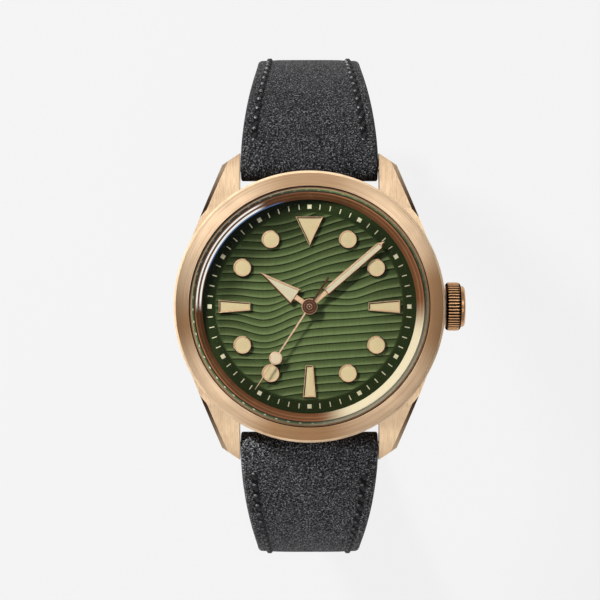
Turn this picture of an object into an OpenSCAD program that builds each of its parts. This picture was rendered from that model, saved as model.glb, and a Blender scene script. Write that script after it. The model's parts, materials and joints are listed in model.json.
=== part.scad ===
// Dive watch with a bronze case, a wave-pressed dial and a curled suede strap.
// Origin: centre of the case-back face. +Z to the crystal, +Y to 12 o'clock, +X to the crown.

/* [Case] */
// Diameter of the dial plate
dial_d = 31.2; // [30:0.1:33]
// Diameter of the crystal
crystal_d = 33.7; // [33:0.1:36]
// Width of the bezel's top band
bezel_w = 1.97; // [1.4:0.01:3]
// How far the mid-case stands out past the bezel
case_over = 0.4; // [0.2:0.05:1]
// Height of the case back that shows below the mid-case
back_h = 1.4; // [1.2:0.05:2]
// Height of the mid-case
mid_h = 5.9; // [5.8:0.05:7]
// Height of the bezel at its inner edge
bezel_h = 1.9; // [1.6:0.05:2.6]
// Fall of the bezel's top from its inner to its outer edge
bezel_fall = 0.45; // [0.1:0.05:0.8]
// Height of the crystal's edge above the bezel
crystal_rise = 1; // [0.6:0.05:1.6]
// Rise of the crystal's dome
dome_h = 0.45; // [0.1:0.05:1]
// Width of the crystal's edge bevel
crystal_bevel = 0.55; // [0.2:0.05:0.9]
// Width of the sloped inner flange ring
rehaut_w = 0.85; // [0.5:0.05:1.1]

/* [Lugs] */
// Distance of the spring bars past the case's edge
bar_off = 0.5; // [0.3:0.05:2]
// Height of the spring bars above the mid-case's underside
bar_up = 1.2; // [1:0.05:1.5]
// Length of the lugs past the spring bars
lug_past = 2.3; // [2:0.05:3]
// Slant of the lugs' outer edges
lug_slant = 21.5; // [19:0.5:23]
// Radius of the lugs' downward sweep
lug_sweep_r = 38; // [34:0.5:44]
// Height of the lug above the spring bar
lug_top = 1.65; // [1.5:0.05:2]
// Width of the polished bevel along the lugs
lug_bevel = 0.45; // [0.2:0.05:0.7]

/* [Crown] */
// Diameter of the crown
crown_d = 7; // [5.5:0.1:7.4]
// Length of the crown
crown_len = 2.75; // [2:0.05:4]
// Number of flutes round the crown
crown_flutes = 36; // [24:1:44]
// Depth of the flutes
flute_h = 0.22; // [0.1:0.01:0.3]
// Travel of the crown when it is pulled to set the time
crown_pull = 1.4; // [0.8:0.1:1.6]

/* [Dial] */
// Pitch of the pressed waves
wave_pitch = 1.15; // [1:0.05:2]
// Height of the pressed waves
wave_h = 0.14; // [0.05:0.01:0.2]
// Width of the flat minute track round the waves
track_w = 2; // [1.6:0.1:3]
// Distance of the dots' centres from the dial's edge
marker_in = 4.6; // [4:0.1:5]
// Diameter of the dot markers
dot_d = 2.4; // [1.8:0.05:2.8]
// Length of the baton and triangle markers
baton_len = 4.5; // [3:0.1:5]
// Width of the baton markers at the outer end
baton_w = 1.9; // [1.4:0.05:2.4]
// Width of the triangle marker
triangle_w = 3.8; // [3:0.1:4.5]
// Width of the raised frame round each marker
frame_w = 0.22; // [0.15:0.01:0.3]
// Height of the markers
marker_h = 0.5; // [0.3:0.05:0.6]

/* [Hands] */
// Length of the hour hand
hour_len = 8.6; // [7:0.1:10]
// Width of the hour hand's arrow
hour_w = 2.32; // [1.8:0.02:3]
// Length of the minute hand
minute_len = 14; // [11:0.1:14.5]
// Width of the minute hand
minute_w = 1; // [0.8:0.02:1.4]
// Length of the seconds hand
seconds_len = 14.2; // [11:0.1:14.6]
// Distance of the seconds hand's disc from the centre
disc_at = 8.84; // [6:0.1:10]
// Diameter of the seconds hand's disc
disc_d = 1.86; // [1.4:0.02:2.4]
// Hour hand angle, clockwise from 12
hour_at = 304.5; // [0:0.5:360]
// Minute hand angle, clockwise from 12
minute_at = 49.2; // [0:0.1:360]
// Seconds hand angle, clockwise from 12
seconds_at = 213.3; // [0:0.1:360]

/* [Strap] */
// Strap width between the lugs
strap_w = 20; // [18:0.5:21]
// How much narrower the strap is at the buckle
strap_taper = 4; // [2:0.5:6]
// Strap thickness at the spring bars
strap_t = 3.6; // [3.2:0.1:3.8]
// Strap thickness past the padding
strap_end_t = 2.6; // [2.4:0.1:3]
// Thickness of the lining
lining_t = 0.8; // [0.5:0.05:1]
// Radius of the loop that the strap curls to
loop_r = 37.8; // [37:0.2:42]
// Gap between the two halves' ends round the open loop
tail_gap = 20.4; // [18:0.2:30]
// Length of the half with the buckle
upper_len = 84; // [78:1:90]
// Length of the half with the holes
lower_len = 103; // [94:1:110]
// Number of adjusting holes
hole_n = 7; // [4:1:8]
// Distance between the adjusting holes
hole_pitch = 6.5; // [5:0.5:7]

/* [Buckle] */
// Thickness of the buckle frame
buckle_t = 2; // [1.6:0.1:2.4]
// Width of the buckle frame's sides
buckle_side = 1.7; // [1.3:0.1:2.4]
// Length of the buckle frame past its bar
buckle_len = 8.5; // [7:0.5:11]
// Length of each keeper along the strap
keeper_len = 5; // [3.5:0.5:6]
// Wall of each keeper
keeper_wall = 1; // [0.7:0.1:1.4]

/* [Hidden] */
$fn = 96;

bronze = [0.72, 0.52, 0.36];
bright_bronze = [0.82, 0.64, 0.46];
steel = [0.72, 0.73, 0.74];
brass = [0.80, 0.66, 0.36];
lume = [0.93, 0.88, 0.76];
black = [0.10, 0.10, 0.10];
suede = [0.32, 0.32, 0.33];
over = 0.5;

// Clearances: press seat, running fit, soft fit
seat = 0.02;
run = 0.05;
loose = 0.3;

// Radii, from the dial outwards
dial_r = dial_d / 2;
crystal_r = crystal_d / 2;
gasket_w = 0.28;
bezel_in = crystal_r + gasket_w;
bezel_r = bezel_in + bezel_w;
case_r = bezel_r + case_over;
ledge_w = 0.2;
ledge_in = crystal_r - ledge_w;
rehaut_out = ledge_in - 0.1;
rehaut_lip = 0.3;
rehaut_in = rehaut_out - rehaut_lip;
chamber_r = dial_r + 0.1;
back_wall = 1;
back_wall_r = chamber_r + 0.2;
back_flange = chamber_r + 1.2;
gap_wall_r = bezel_r - 0.2;

// Heights, from the case back upwards
back_floor = back_h - 0.45;
mid_z = back_h;
bezel_z = mid_z + mid_h;
bezel_top = bezel_z + bezel_h;
ledge_h = 0.9;
crystal_z = bezel_z + ledge_h;
crystal_edge = bezel_top + crystal_rise;
crystal_top = crystal_edge + dome_h;
rotor_z = back_floor + 0.3;
rotor_t = 0.9;
bridge_z = rotor_z + rotor_t + 0.3;
bridge_t = 0.9;
train_z = bridge_z + bridge_t;
train_h = 1.3;
plate_z = train_z + train_h;
plate_t = 0.7;
motion_z = plate_z + plate_t;
motion_h = 0.55;
dial_z = motion_z + motion_h;
dial_t = 0.4;
dial_top = dial_z + dial_t;
marker_z = dial_top + wave_h;
hand_t = 0.15;
hand_gap = 0.15;
hour_gap = 0.12;
hour_z = marker_z + marker_h + hour_gap;
minute_z = hour_z + hand_t + hand_gap;
seconds_z = minute_z + hand_t + hand_gap;
back_seat_h = 0.3;
back_seat_z = train_z - back_seat_h;
gasket_h = 0.35;
gasket_r = back_wall_r + 0.45;
gasket_ring_w = 0.45;

// Lugs and spring bars
bar_y = case_r + bar_off;
bar_z = mid_z + bar_up;
bar_r = 0.75;
pin_r = 0.4;
pin_reach = 0.85;
pin_travel = 1;
bar_gap = 0.1;
lug_in = strap_w / 2 + bar_gap;
lug_tip = bar_y + lug_past;
lug_line = case_r - 0.2;
lug_tip_slope = 35;
sweep_z = bar_z + lug_top - sqrt(pow(lug_sweep_r, 2) - pow(bar_y, 2));
lug_drop = 1.1;
arch_r = (pow(lug_tip, 2) + pow(lug_drop, 2)) / (2 * lug_drop);

// Crown and stem
stem_z = (train_z + plate_z) / 2 + 0.35;
stem_r = 0.4;
stem_in = 8.6;
crown_x = case_r + 0.15;
tube_r = 1.15;
tube_in = chamber_r + 0.05;
tube_out = crown_x + 1.3;
socket_r = tube_r + 0.45;
socket_len = crown_len - 0.75;
groove_r = 0.25;
lever_x = 10.6;
groove_w = 0.7;

// Strap loop, seen from +X: the arc leaves the bar, runs straight, then curls under
loop_z = bar_z - sqrt(pow(loop_r, 2) - pow(bar_y, 2));
loop_from = asin(bar_y / loop_r);
loop_arc = loop_r * (90 - loop_from) * PI / 180;
// Straight run in each side, from what the two halves and the gap leave over round the loop
loop_drop = max(0, (upper_len + lower_len + tail_gap - 2 * loop_arc - PI * loop_r) / 2);
strap_end_w = strap_w - strap_taper;
taper_len = 30;
pad_len = 40;
bar_bore = bar_r + run;
end_bore_r = 0.65;
lining_from = 4;
lining_gap = 0.03;
tail_len = 9;

function path_a(s) =
  s < loop_arc ? loop_from + s / loop_r * 180 / PI
  : s < loop_arc + loop_drop ? 90
  : 90 + (s - loop_arc - loop_drop) / loop_r * 180 / PI;
function path_fall(s) = min(max(s - loop_arc, 0), loop_drop);
function path_y(s) = loop_r * sin(path_a(s));
function path_z(s) = loop_z + loop_r * cos(path_a(s)) - path_fall(s);
function ease(t) = let (u = min(max(t, 0), 1)) u * u * (3 - 2 * u);
function strap_half(s) = (strap_w - (strap_w - strap_end_w) * ease(s / taper_len)) / 2;
function strap_thick(s) = strap_t - (strap_t - strap_end_t) * ease(s / pad_len);

// Places a shape on the strap's path: Y along the strap, Z outwards
module on_path(s) {
  translate([0, path_y(s), path_z(s)])
    rotate([-path_a(s), 0, 0])
      children();
}

// Cylinder along X
module x_rod(r, from, to) {
  translate([from, 0, 0])
    rotate([0, 90, 0])
      cylinder(r = r, h = to - from);
}

// Ring between two radii
module ring(r_out, r_in, h) {
  linear_extrude(h)
    difference() {
      circle(r_out);
      circle(r_in);
    }
}

// Case

lug_foot = [lug_line * cos(lug_slant), lug_line * sin(lug_slant)];
lug_tip_run = (lug_line - lug_in * cos(lug_slant) - lug_tip * sin(lug_slant))
  / cos(lug_tip_slope + lug_slant);
lug_corner = [lug_in + lug_tip_run * cos(lug_tip_slope), lug_tip - lug_tip_run * sin(lug_tip_slope)];

// The lug bevel is one 45 degree cylinder that follows the lug's sweep along its outer edge
edge_y = (bar_y - lug_line * sin(lug_slant)) / cos(lug_slant);
bevel_tilt = 45;
bevel_r = 1.34 * lug_sweep_r;
bevel_y = -5.4;
bevel_v = (lug_line - lug_bevel + bar_z + lug_top) * sin(bevel_tilt)
  - sqrt(pow(bevel_r, 2) - pow(edge_y - bevel_y, 2));

module case_plan() {
  lug = [[lug_in, 0], lug_foot, lug_corner, [lug_in, lug_tip]];
  circle(case_r);
  for (sx = [-1, 1], sy = [-1, 1])
    let (pts = [for (p = lug) [sx * p[0], sy * p[1]]])
      polygon(sx * sy > 0 ? pts : [for (i = [len(pts) - 1:-1:0]) pts[i]]);
}

module lug_bevel_body() {
  rotate([0, 0, lug_slant])
    translate([bevel_v * sin(bevel_tilt), bevel_y, bevel_v * cos(bevel_tilt)])
      rotate([0, 90 + bevel_tilt, 0])
        cylinder(r = bevel_r, h = 6 * case_r, center = true);
}

module lug_gap_cut() {
  for (m = [0, 1])
    mirror([0, m, 0])
      translate([0, 0, -over])
        linear_extrude(bezel_z + 2 * over)
          difference() {
            translate([-lug_in, bar_y / 2])
              square([2 * lug_in, lug_tip]);
            intersection() {
              circle(gap_wall_r);
              translate([-case_r, 0])
                square([2 * case_r, bar_y - strap_t / 2 - loose]);
            }
          }
}

module mid_case() {
  color(bronze)
    difference() {
      intersection() {
        translate([0, 0, mid_z - lug_drop])
          linear_extrude(mid_h + lug_drop)
            case_plan();
        translate([0, 0, sweep_z])
          x_rod(lug_sweep_r, -2 * case_r, 2 * case_r);
        lug_bevel_body();
        mirror([1, 0, 0])
          lug_bevel_body();
        mirror([0, 1, 0])
          lug_bevel_body();
        mirror([1, 0, 0])
          mirror([0, 1, 0])
            lug_bevel_body();
      }
      translate([0, 0, mid_z - arch_r])
        x_rod(arch_r, -2 * case_r, 2 * case_r);
      translate([0, 0, -over])
        cylinder(r = back_flange + loose, h = mid_z + over);
      cylinder(r = back_wall_r + seat, h = back_seat_z);
      cylinder(r = chamber_r, h = dial_top);
      translate([0, 0, dial_top])
        cylinder(r = rehaut_out + seat, h = mid_h);
      lug_gap_cut();
      for (m = [0, 1])
        mirror([0, m, 0])
          translate([0, bar_y, bar_z])
            x_rod(pin_r + run, -lug_in - pin_reach - bar_gap, lug_in + pin_reach + bar_gap);
      translate([0, 0, stem_z])
        x_rod(tube_r, 0, case_r + over);
    }
}

module bezel() {
  edge = 0.3;
  rim = 0.12;
  color(bright_bronze)
    rotate_extrude()
      polygon([
        [ledge_in, bezel_z], [bezel_r, bezel_z], [bezel_r, bezel_top - bezel_fall - edge],
        [bezel_r - edge, bezel_top - bezel_fall], [bezel_in + rim, bezel_top],
        [bezel_in, bezel_top - rim], [bezel_in, crystal_z], [ledge_in, crystal_z]
      ]);
}

module crystal() {
  flat_r = crystal_r - crystal_bevel;
  dome_r = (pow(flat_r, 2) + pow(dome_h, 2)) / (2 * dome_h);
  color([0.85, 0.92, 0.95, 0.35])
    intersection() {
      rotate_extrude()
        polygon([
          [0, crystal_z], [crystal_r, crystal_z], [crystal_r, crystal_edge - crystal_bevel],
          [flat_r, crystal_edge], [flat_r, crystal_top + over], [0, crystal_top + over]
        ]);
      translate([0, 0, crystal_top - dome_r])
        sphere(r = dome_r, $fn = 200);
    }
}

module crystal_gasket() {
  color(black)
    translate([0, 0, crystal_z])
      ring(bezel_in - seat, crystal_r + seat, bezel_h - ledge_h - loose);
}

module rehaut_ring() {
  top = crystal_z - run;
  color(bronze)
    rotate_extrude()
      polygon([
        [rehaut_in - rehaut_w, dial_top], [rehaut_out, dial_top], [rehaut_out, top], [rehaut_in, top]
      ]);
}

module case_back() {
  edge = 0.5;
  slot_w = 1.8;
  slot_len = 1.6;
  slot_h = 0.45;
  slot_n = 6;
  color(bronze)
    difference() {
      rotate_extrude()
        polygon([
          [0, 0], [back_flange - edge, 0], [back_flange, edge], [back_flange, back_h],
          [back_wall_r, back_h], [back_wall_r, back_seat_z],
          [back_wall_r - back_wall, back_seat_z], [back_wall_r - back_wall, back_floor], [0, back_floor]
        ]);
      translate([0, 0, back_h - gasket_h])
        ring(gasket_r + gasket_ring_w / 2, gasket_r - gasket_ring_w / 2, gasket_h + seat);
      for (i = [0:slot_n - 1])
        rotate([0, 0, 360 * i / slot_n])
          translate([back_flange - slot_len, -slot_w / 2, -over])
            cube([slot_len + over, slot_w, slot_h + over]);
    }
}

module back_gasket() {
  color(black)
    translate([0, 0, back_h - gasket_h])
      ring(gasket_r + gasket_ring_w / 2 - seat, gasket_r - gasket_ring_w / 2 + seat, gasket_h);
}

// Crown and setting parts

module crown() {
  rim = 0.35;
  cap_len = 0.6;
  cap_r = crown_d / 2 - 0.55;
  grip_len = crown_len - cap_len;
  color(bronze)
    translate([crown_x, 0, stem_z])
      rotate([0, 90, 0])
        difference() {
          union() {
            linear_extrude(grip_len)
              difference() {
                circle(crown_d / 2);
                for (i = [0:crown_flutes - 1])
                  rotate(360 * i / crown_flutes)
                    translate([crown_d / 2, 0])
                      circle(flute_h, $fn = 24);
              }
            rotate_extrude()
              polygon([
                [0, grip_len], [cap_r + rim, grip_len], [cap_r, grip_len + rim / 2],
                [cap_r - rim / 2, crown_len - rim / 4], [cap_r - 2 * rim, crown_len], [0, crown_len]
              ]);
          }
          translate([0, 0, -over])
            cylinder(r = socket_r, h = socket_len + over);
        }
}

module crown_tube() {
  color(steel)
    translate([0, 0, stem_z])
      difference() {
        x_rod(tube_r - seat, tube_in, tube_out);
        x_rod(stem_r + run, tube_in - over, tube_out + over);
      }
}

module crown_gasket() {
  wire_r = (socket_r - seat - tube_r - run / 2) / 2;
  color(black)
    translate([tube_out - 2 * wire_r, 0, stem_z])
      rotate([0, 90, 0])
        rotate_extrude()
          translate([socket_r - seat - wire_r, 0])
            circle(wire_r, $fn = 32);
}

module stem() {
  color(steel)
    translate([0, 0, stem_z])
      difference() {
        x_rod(stem_r, stem_in, crown_x + socket_len);
        difference() {
          x_rod(stem_r + over, lever_x - groove_w / 2, lever_x + groove_w / 2);
          x_rod(groove_r, lever_x - groove_w, lever_x + groove_w);
        }
      }
}

module setting_lever() {
  lever_t = groove_w - 2 * run;
  lever_w = 1.8;
  tail = 2.4;
  low = train_z + 2 * run;
  color(steel)
    difference() {
      translate([lever_x - lever_t / 2, -lever_w / 2 - tail, low])
        cube([lever_t, lever_w + tail, plate_z - run - low]);
      translate([lever_x - over, -groove_r - run, stem_z - groove_r - run])
        cube([2 * over, 2 * (groove_r + run), plate_z - stem_z + over]);
    }
}

// Dial and markers

wave_r = dial_r - track_w;
wave_segs = 24;
wave_low = 0.02;
wave_sink = 0.1;
wave_dip = 1.6;
wave_dip_x = -6.2;
wave_dip_w = 3.6;
wave_hollow = 1.1;
wave_hollow_x = 6;
wave_hollow_w = 3.4;
wave_lean = 0.07;
wave_fan = 0.1;
wave_start = 0.3;
wave_rows = floor((wave_r - wave_dip) / wave_pitch);
wave_n = 2 * wave_rows;
post_hole = 1;

// One wave line: it leans up to the right, more so towards 12, and dips left and right of the
// centre; towards 12 the left dip is wider and nearer the middle, towards 6 it is shallow
function wave_tilt(y) = wave_lean + wave_fan * ease((y + 2) / 8);
function wave_top(y) = ease((y - 1) / 6);
function wave_bell(x, mid, w) = exp(-pow((x - mid) / w, 2));
function wave_left(x, y) =
  wave_dip * (0.25 + 0.75 * ease((y + 7.5) / 5))
  * wave_bell(x, wave_dip_x + 2 * wave_top(y), wave_dip_w + 2.6 * wave_top(y));
function wave_right(x, y) =
  wave_hollow * wave_bell(y, 2.6, 3) * wave_bell(x, wave_hollow_x, wave_hollow_w);
function wave_y(x, y) = y + wave_tilt(y) * x - wave_left(x, y) - wave_right(x, y);
function wave_base(j) = (j - wave_rows) * wave_pitch + wave_start;
// Where a wave line meets the rim of the pressed field, by halving the interval
function wave_end(y, a, b, n) =
  let (c = (a + b) / 2, inside = norm([c, wave_y(c, y)]) < wave_r)
  n == 0 ? c : wave_end(y, inside ? c : a, inside ? b : c, n - 1);
function wave_row(y, z) =
  let (x0 = wave_end(y, 0, -wave_r, 16), x1 = wave_end(y, 0, wave_r, 16))
  [for (i = [0:wave_segs]) let (x = x0 + (x1 - x0) * i / wave_segs) [x, wave_y(x, y), z]];
function wave_at(kind, j, i) = (3 * j + kind) * (wave_segs + 1) + i;
function both(flip, a, b, c) = flip ? [a, c, b] : [a, b, c];

// Each terrace is highest at the line below it and slopes down to the line above it
wave_pts = [
  for (j = [0:wave_n], z = [dial_top + wave_h, dial_top + wave_low, dial_top - wave_sink])
    each wave_row(wave_base(j), z)
];
wave_slopes = [
  for (j = [0:wave_n - 1], i = [0:wave_segs - 1])
    let (a = wave_at(0, j, i), b = wave_at(0, j, i + 1))
    let (c = wave_at(1, j + 1, i + 1), d = wave_at(1, j + 1, i))
    each [[a, d, c], [a, c, b]]
];
wave_steps = [
  for (j = [1:wave_n - 1], i = [0:wave_segs - 1])
    let (a = wave_at(0, j, i), b = wave_at(0, j, i + 1))
    let (c = wave_at(1, j, i + 1), d = wave_at(1, j, i))
    each [[a, b, c], [a, c, d]]
];
wave_floor = [
  for (j = [0:wave_n - 1], i = [0:wave_segs - 1])
    let (a = wave_at(2, j, i), b = wave_at(2, j, i + 1))
    let (c = wave_at(2, j + 1, i + 1), d = wave_at(2, j + 1, i))
    each [[a, b, c], [a, c, d]]
];
wave_rims = [
  for (i = [0:wave_segs - 1], j = [0, wave_n])
    let (kind = j == 0 ? 0 : 1, a = wave_at(kind, j, i), b = wave_at(kind, j, i + 1))
    let (c = wave_at(2, j, i + 1), d = wave_at(2, j, i))
    each [both(j > 0, a, b, c), both(j > 0, a, c, d)]
];
wave_ends = [
  for (j = [0:wave_n - 1], i = [0, wave_segs])
    let (a = wave_at(2, j, i), b = wave_at(2, j + 1, i), c = wave_at(1, j + 1, i))
    let (d = wave_at(0, j, i), e = wave_at(1, j, i))
    each j > 0
      ? [both(i > 0, b, c, e), both(i > 0, b, e, a), both(i > 0, c, d, e)]
      : [both(i > 0, a, b, c), both(i > 0, a, c, d)]
];

module dial() {
  color([0.16, 0.30, 0.24])
    difference() {
      union() {
        translate([0, 0, dial_z])
          cylinder(r = dial_r, h = dial_t);
        polyhedron(wave_pts, concat(wave_slopes, wave_steps, wave_floor, wave_rims, wave_ends));
      }
      translate([0, 0, dial_z - over])
        cylinder(r = post_hole, h = dial_t + 2 * over);
    }
}

function unit(v) = v / norm(v);
function left(v) = [-v[1], v[0]];
// Insets a convex outline that runs anticlockwise
function inset(p, d) = [
  for (i = [0:len(p) - 1])
    let (n = len(p), a = p[(i + n - 1) % n], b = p[i], c = p[(i + 1) % n])
    let (u = left(unit(b - a)), v = left(unit(c - b)))
    b + d * (u + v) / (1 + u * v)
];

dot_at = dial_r - marker_in;
baton_out = wave_r - 0.65;
baton_in_w = 0.6 * baton_w;
triangle_len = baton_len - 0.44;
triangle_out = baton_out - 0.25;
baton = [
  [-baton_in_w / 2, baton_out - baton_len], [baton_in_w / 2, baton_out - baton_len],
  [baton_w / 2, baton_out], [-baton_w / 2, baton_out]
];
triangle = [
  [0, triangle_out - triangle_len], [triangle_w / 2, triangle_out], [-triangle_w / 2, triangle_out]
];

// All markers, drawn smaller by an inset
module marker_shapes(d) {
  polygon(inset(triangle, d));
  for (h = [3, 6, 9])
    rotate(-30 * h)
      polygon(inset(baton, d));
  for (h = [1, 2, 4, 5, 7, 8, 10, 11])
    rotate(-30 * h)
      translate([0, dot_at])
        circle(dot_d / 2 - d, $fn = 48);
}

module marker_frames() {
  color(brass)
    translate([0, 0, marker_z])
      linear_extrude(marker_h)
        difference() {
          marker_shapes(0);
          marker_shapes(frame_w);
        }
}

module marker_lume() {
  dip = 0.08;
  color(lume)
    translate([0, 0, marker_z])
      linear_extrude(marker_h - dip)
        marker_shapes(frame_w + seat);
}

// Hands: each is drawn at 12 and turned to its time

hour_tube_r = 0.8;
cannon_r = 0.55;
arbor_r = 0.3;
hour_hub_r = 1.15;
hour_stalk_w = 0.74;
hour_shoulder = 2.35;
hour_arrow = [[-hour_w / 2, hour_shoulder], [hour_w / 2, hour_shoulder], [0, hour_len]];
minute_hub_r = 0.95;
minute_stalk_w = 0.68;
minute_shoulder = 3.1;
minute_tip = 0.9;
minute_body = [
  [-minute_w / 2, minute_shoulder], [minute_w / 2, minute_shoulder],
  [0.47 * minute_w, minute_len - minute_tip], [0, minute_len], [-0.47 * minute_w, minute_len - minute_tip]
];
minute_window = [
  [-minute_w / 4, minute_shoulder + frame_w], [minute_w / 4, minute_shoulder + frame_w],
  [minute_w / 4, minute_len - minute_tip], [-minute_w / 4, minute_len - minute_tip]
];

// Places a hand's flat outline at its height and angle
module hand(z, at, t) {
  translate([0, 0, z])
    rotate([0, 0, -at])
      linear_extrude(t)
        children();
}

module stalk(w, len) {
  translate([-w / 2, 0])
    square([w, len]);
}

module hour_hand() {
  color(bright_bronze)
    hand(hour_z, hour_at, hand_t)
      difference() {
        union() {
          circle(hour_hub_r);
          stalk(hour_stalk_w, hour_shoulder + frame_w / 2);
          polygon(hour_arrow);
        }
        polygon(inset(hour_arrow, frame_w));
        circle(hour_tube_r + seat);
      }
}

module hour_lume() {
  color(lume)
    hand(hour_z, hour_at, hand_t)
      polygon(inset(hour_arrow, frame_w + seat));
}

module minute_hand() {
  color(bright_bronze)
    hand(minute_z, minute_at, hand_t)
      difference() {
        union() {
          circle(minute_hub_r);
          stalk(minute_stalk_w, minute_shoulder + frame_w / 2);
          polygon(minute_body);
        }
        polygon(minute_window);
        circle(cannon_r + seat);
      }
}

module minute_lume() {
  color(lume)
    hand(minute_z, minute_at, hand_t)
      polygon(inset(minute_window, seat));
}

seconds_tail = 5;
needle_w = 0.25;
boss_r = 1.1;

module seconds_hand() {
  color(bronze) {
    hand(seconds_z, seconds_at, hand_t)
      difference() {
        union() {
          circle(boss_r);
          translate([0, -seconds_tail])
            stalk(needle_w, seconds_tail + disc_at);
          translate([0, disc_at])
            circle(disc_d / 2);
          translate([0, disc_at])
            stalk(needle_w, seconds_len - disc_at);
        }
        translate([0, disc_at])
          circle(disc_d / 2 - frame_w);
        circle(arbor_r + seat);
      }
  }
}

module seconds_lume() {
  color(lume)
    hand(seconds_z, seconds_at, hand_t)
      translate([0, disc_at])
        circle(disc_d / 2 - frame_w - seat);
}

// Movement

movement_r = 13.2;
wheel_t = 0.15;
low_z = train_z + 0.15;
mid_level = train_z + 0.6;
up_level = train_z + 0.75;
escape_level = train_z + 0.95;
top_level = train_z + 1.05;
barrel_a = 100;
barrel_c = 6.75;
third_a = -60;
train_c = 5.2;
fourth_a = 190;
motion_c = 3.6;
motion_a = 20;
motion_low = motion_z + 0.07;
motion_high = motion_low + wheel_t + 0.07;

barrel_teeth = 80;
centre_leaves = 10;
centre_teeth = 64;
leaves = 8;
third_teeth = 60;
cannon_leaves = 12;
minute_teeth = 36;
minute_leaves = 10;
hour_teeth = 40;
fourth_teeth = 56;
escape_leaves = 7;
escape_teeth = 15;
fourth_mod = 0.11;

function polar(r, a) = [r * cos(a), r * sin(a)];
function mod_of(c, z1, z2) = 2 * c / (z1 + z2);
function tip_r(z, m) = m * (z / 2 + 0.75);
// Angle that sets a gap of the second wheel against a tooth of the first
function mesh(z1, at1, z2, a) = a + 180 - (0.5 - (a - at1) * z1 / 360) * 360 / z2;

barrel_mod = mod_of(barrel_c, barrel_teeth, centre_leaves);
centre_mod = mod_of(train_c, centre_teeth, leaves);
third_mod = mod_of(train_c, third_teeth, leaves);
cannon_mod = mod_of(motion_c, cannon_leaves, minute_teeth);
hour_mod = mod_of(motion_c, minute_leaves, hour_teeth);
barrel_p = polar(barrel_c, barrel_a);
third_p = polar(train_c, third_a);
fourth_p = third_p + polar(train_c, fourth_a);
minute_p = polar(motion_c, motion_a);
escape_c = tip_r(fourth_teeth, fourth_mod) + tip_r(escape_leaves, fourth_mod) + run;
escape_p = fourth_p + polar(escape_c, 200);
escape_r = 1.7;
fork_p = escape_p + polar(2.6, 110);
balance_p = fork_p + polar(3.3, 95);
balance_r = 2.9;

module gear(z, m, at = 0) {
  thin = 0.78;
  w = 90 / z * thin;
  r0 = m * (z / 2 - 0.9);
  r1 = tip_r(z, m);
  polygon([
    for (i = [0:z - 1])
      let (a = at + 360 * i / z)
      each [
        polar(r0, a - 1.25 * w), polar(r1, a - 0.5 * w),
        polar(r1, a + 0.5 * w), polar(r0, a + 1.25 * w)
      ]
  ]);
}

// Toothed wheel with a rim and spokes
module wheel(z, m, at, spokes, hub) {
  rim = m * (z / 2 - 2.6);
  arm = 0.5;
  difference() {
    gear(z, m, at);
    difference() {
      circle(rim);
      circle(hub);
      for (i = [0:spokes - 1])
        rotate(360 * i / spokes)
          translate([0, -arm / 2])
            square([rim + m, arm]);
    }
  }
}

module level(p, z, t) {
  translate([p[0], p[1], z])
    linear_extrude(t)
      children();
}

module arbor(p, r) {
  level(p, train_z + run, train_h - 2 * run)
    circle(r);
}

module movement_ring() {
  color(steel)
    difference() {
      translate([0, 0, back_seat_z])
        ring(chamber_r - run, movement_r + run, dial_z - back_seat_z);
      translate([0, 0, stem_z])
        x_rod(stem_r + 4 * run, 0, case_r);
    }
}

pillars = [[11.8, 45], [11.8, -30], [11.8, 170], [11.8, 255]];

module main_plate() {
  pillar_r = 0.6;
  post_r = 0.35;
  post_p = minute_p;
  color(brass)
    difference() {
      union() {
        translate([0, 0, plate_z])
          cylinder(r = movement_r, h = plate_t);
        for (p = pillars)
          level(polar(p[0], p[1]), train_z, train_h + run)
            circle(pillar_r);
        level(post_p, motion_z - run, motion_h - run)
          circle(post_r);
      }
      translate([0, 0, plate_z - over])
        cylinder(r = cannon_r + run, h = plate_t + 2 * over);
      translate([0, 0, stem_z])
        x_rod(stem_r + 2 * run, stem_in - loose, case_r);
    }
}

module train_bridge() {
  arm = 2.6;
  color(steel)
    level([0, 0], bridge_z, bridge_t) {
      difference() {
        circle(movement_r);
        translate(balance_p)
          circle(balance_r + loose);
        circle(0.2);
      }
      intersection() {
        circle(movement_r);
        translate(balance_p)
          rotate(atan2(balance_p[1], balance_p[0]))
            translate([0, -arm / 2])
              square([2 * balance_r, arm]);
      }
      translate(balance_p)
        circle(arm / 2);
    }
}

jewel_r = 0.55;
jewel_t = 0.12;

module jewels() {
  color([0.75, 0.1, 0.25])
    for (p = [third_p, fourth_p, escape_p, fork_p, balance_p])
      level(p, bridge_z - jewel_t, jewel_t)
        circle(jewel_r);
}

module barrel() {
  drum = barrel_mod * (barrel_teeth / 2 - 4);
  color(brass) {
    level(barrel_p, mid_level, 2 * wheel_t)
      gear(barrel_teeth, barrel_mod);
    level(barrel_p, train_z + 2 * run, mid_level - train_z - 2 * run + 2 * wheel_t + run)
      circle(drum);
    arbor(barrel_p, 0.8);
  }
}

module centre_wheel() {
  color(brass)
    difference() {
      union() {
        level([0, 0], mid_level - run, top_level - mid_level + run)
          gear(centre_leaves, barrel_mod, mesh(barrel_teeth, 0, centre_leaves, barrel_a + 180));
        level([0, 0], top_level, wheel_t)
          wheel(centre_teeth, centre_mod, 0, 5, 1.1);
        level([0, 0], top_level, minute_z + hand_t - top_level)
          circle(cannon_r);
        level([0, 0], motion_low, wheel_t)
          gear(cannon_leaves, cannon_mod);
      }
      translate([0, 0, train_z])
        cylinder(r = arbor_r + run, h = 2 * train_h + crystal_z);
    }
}

module seconds_pinion() {
  color(steel) {
    level([0, 0], train_z + run, seconds_z + 1.6 * hand_t - train_z - run)
      circle(arbor_r);
    level([0, 0], low_z - run, wheel_t + 2 * run)
      gear(leaves, third_mod, mesh(third_teeth, 0, leaves, third_a + 180));
  }
}

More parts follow.
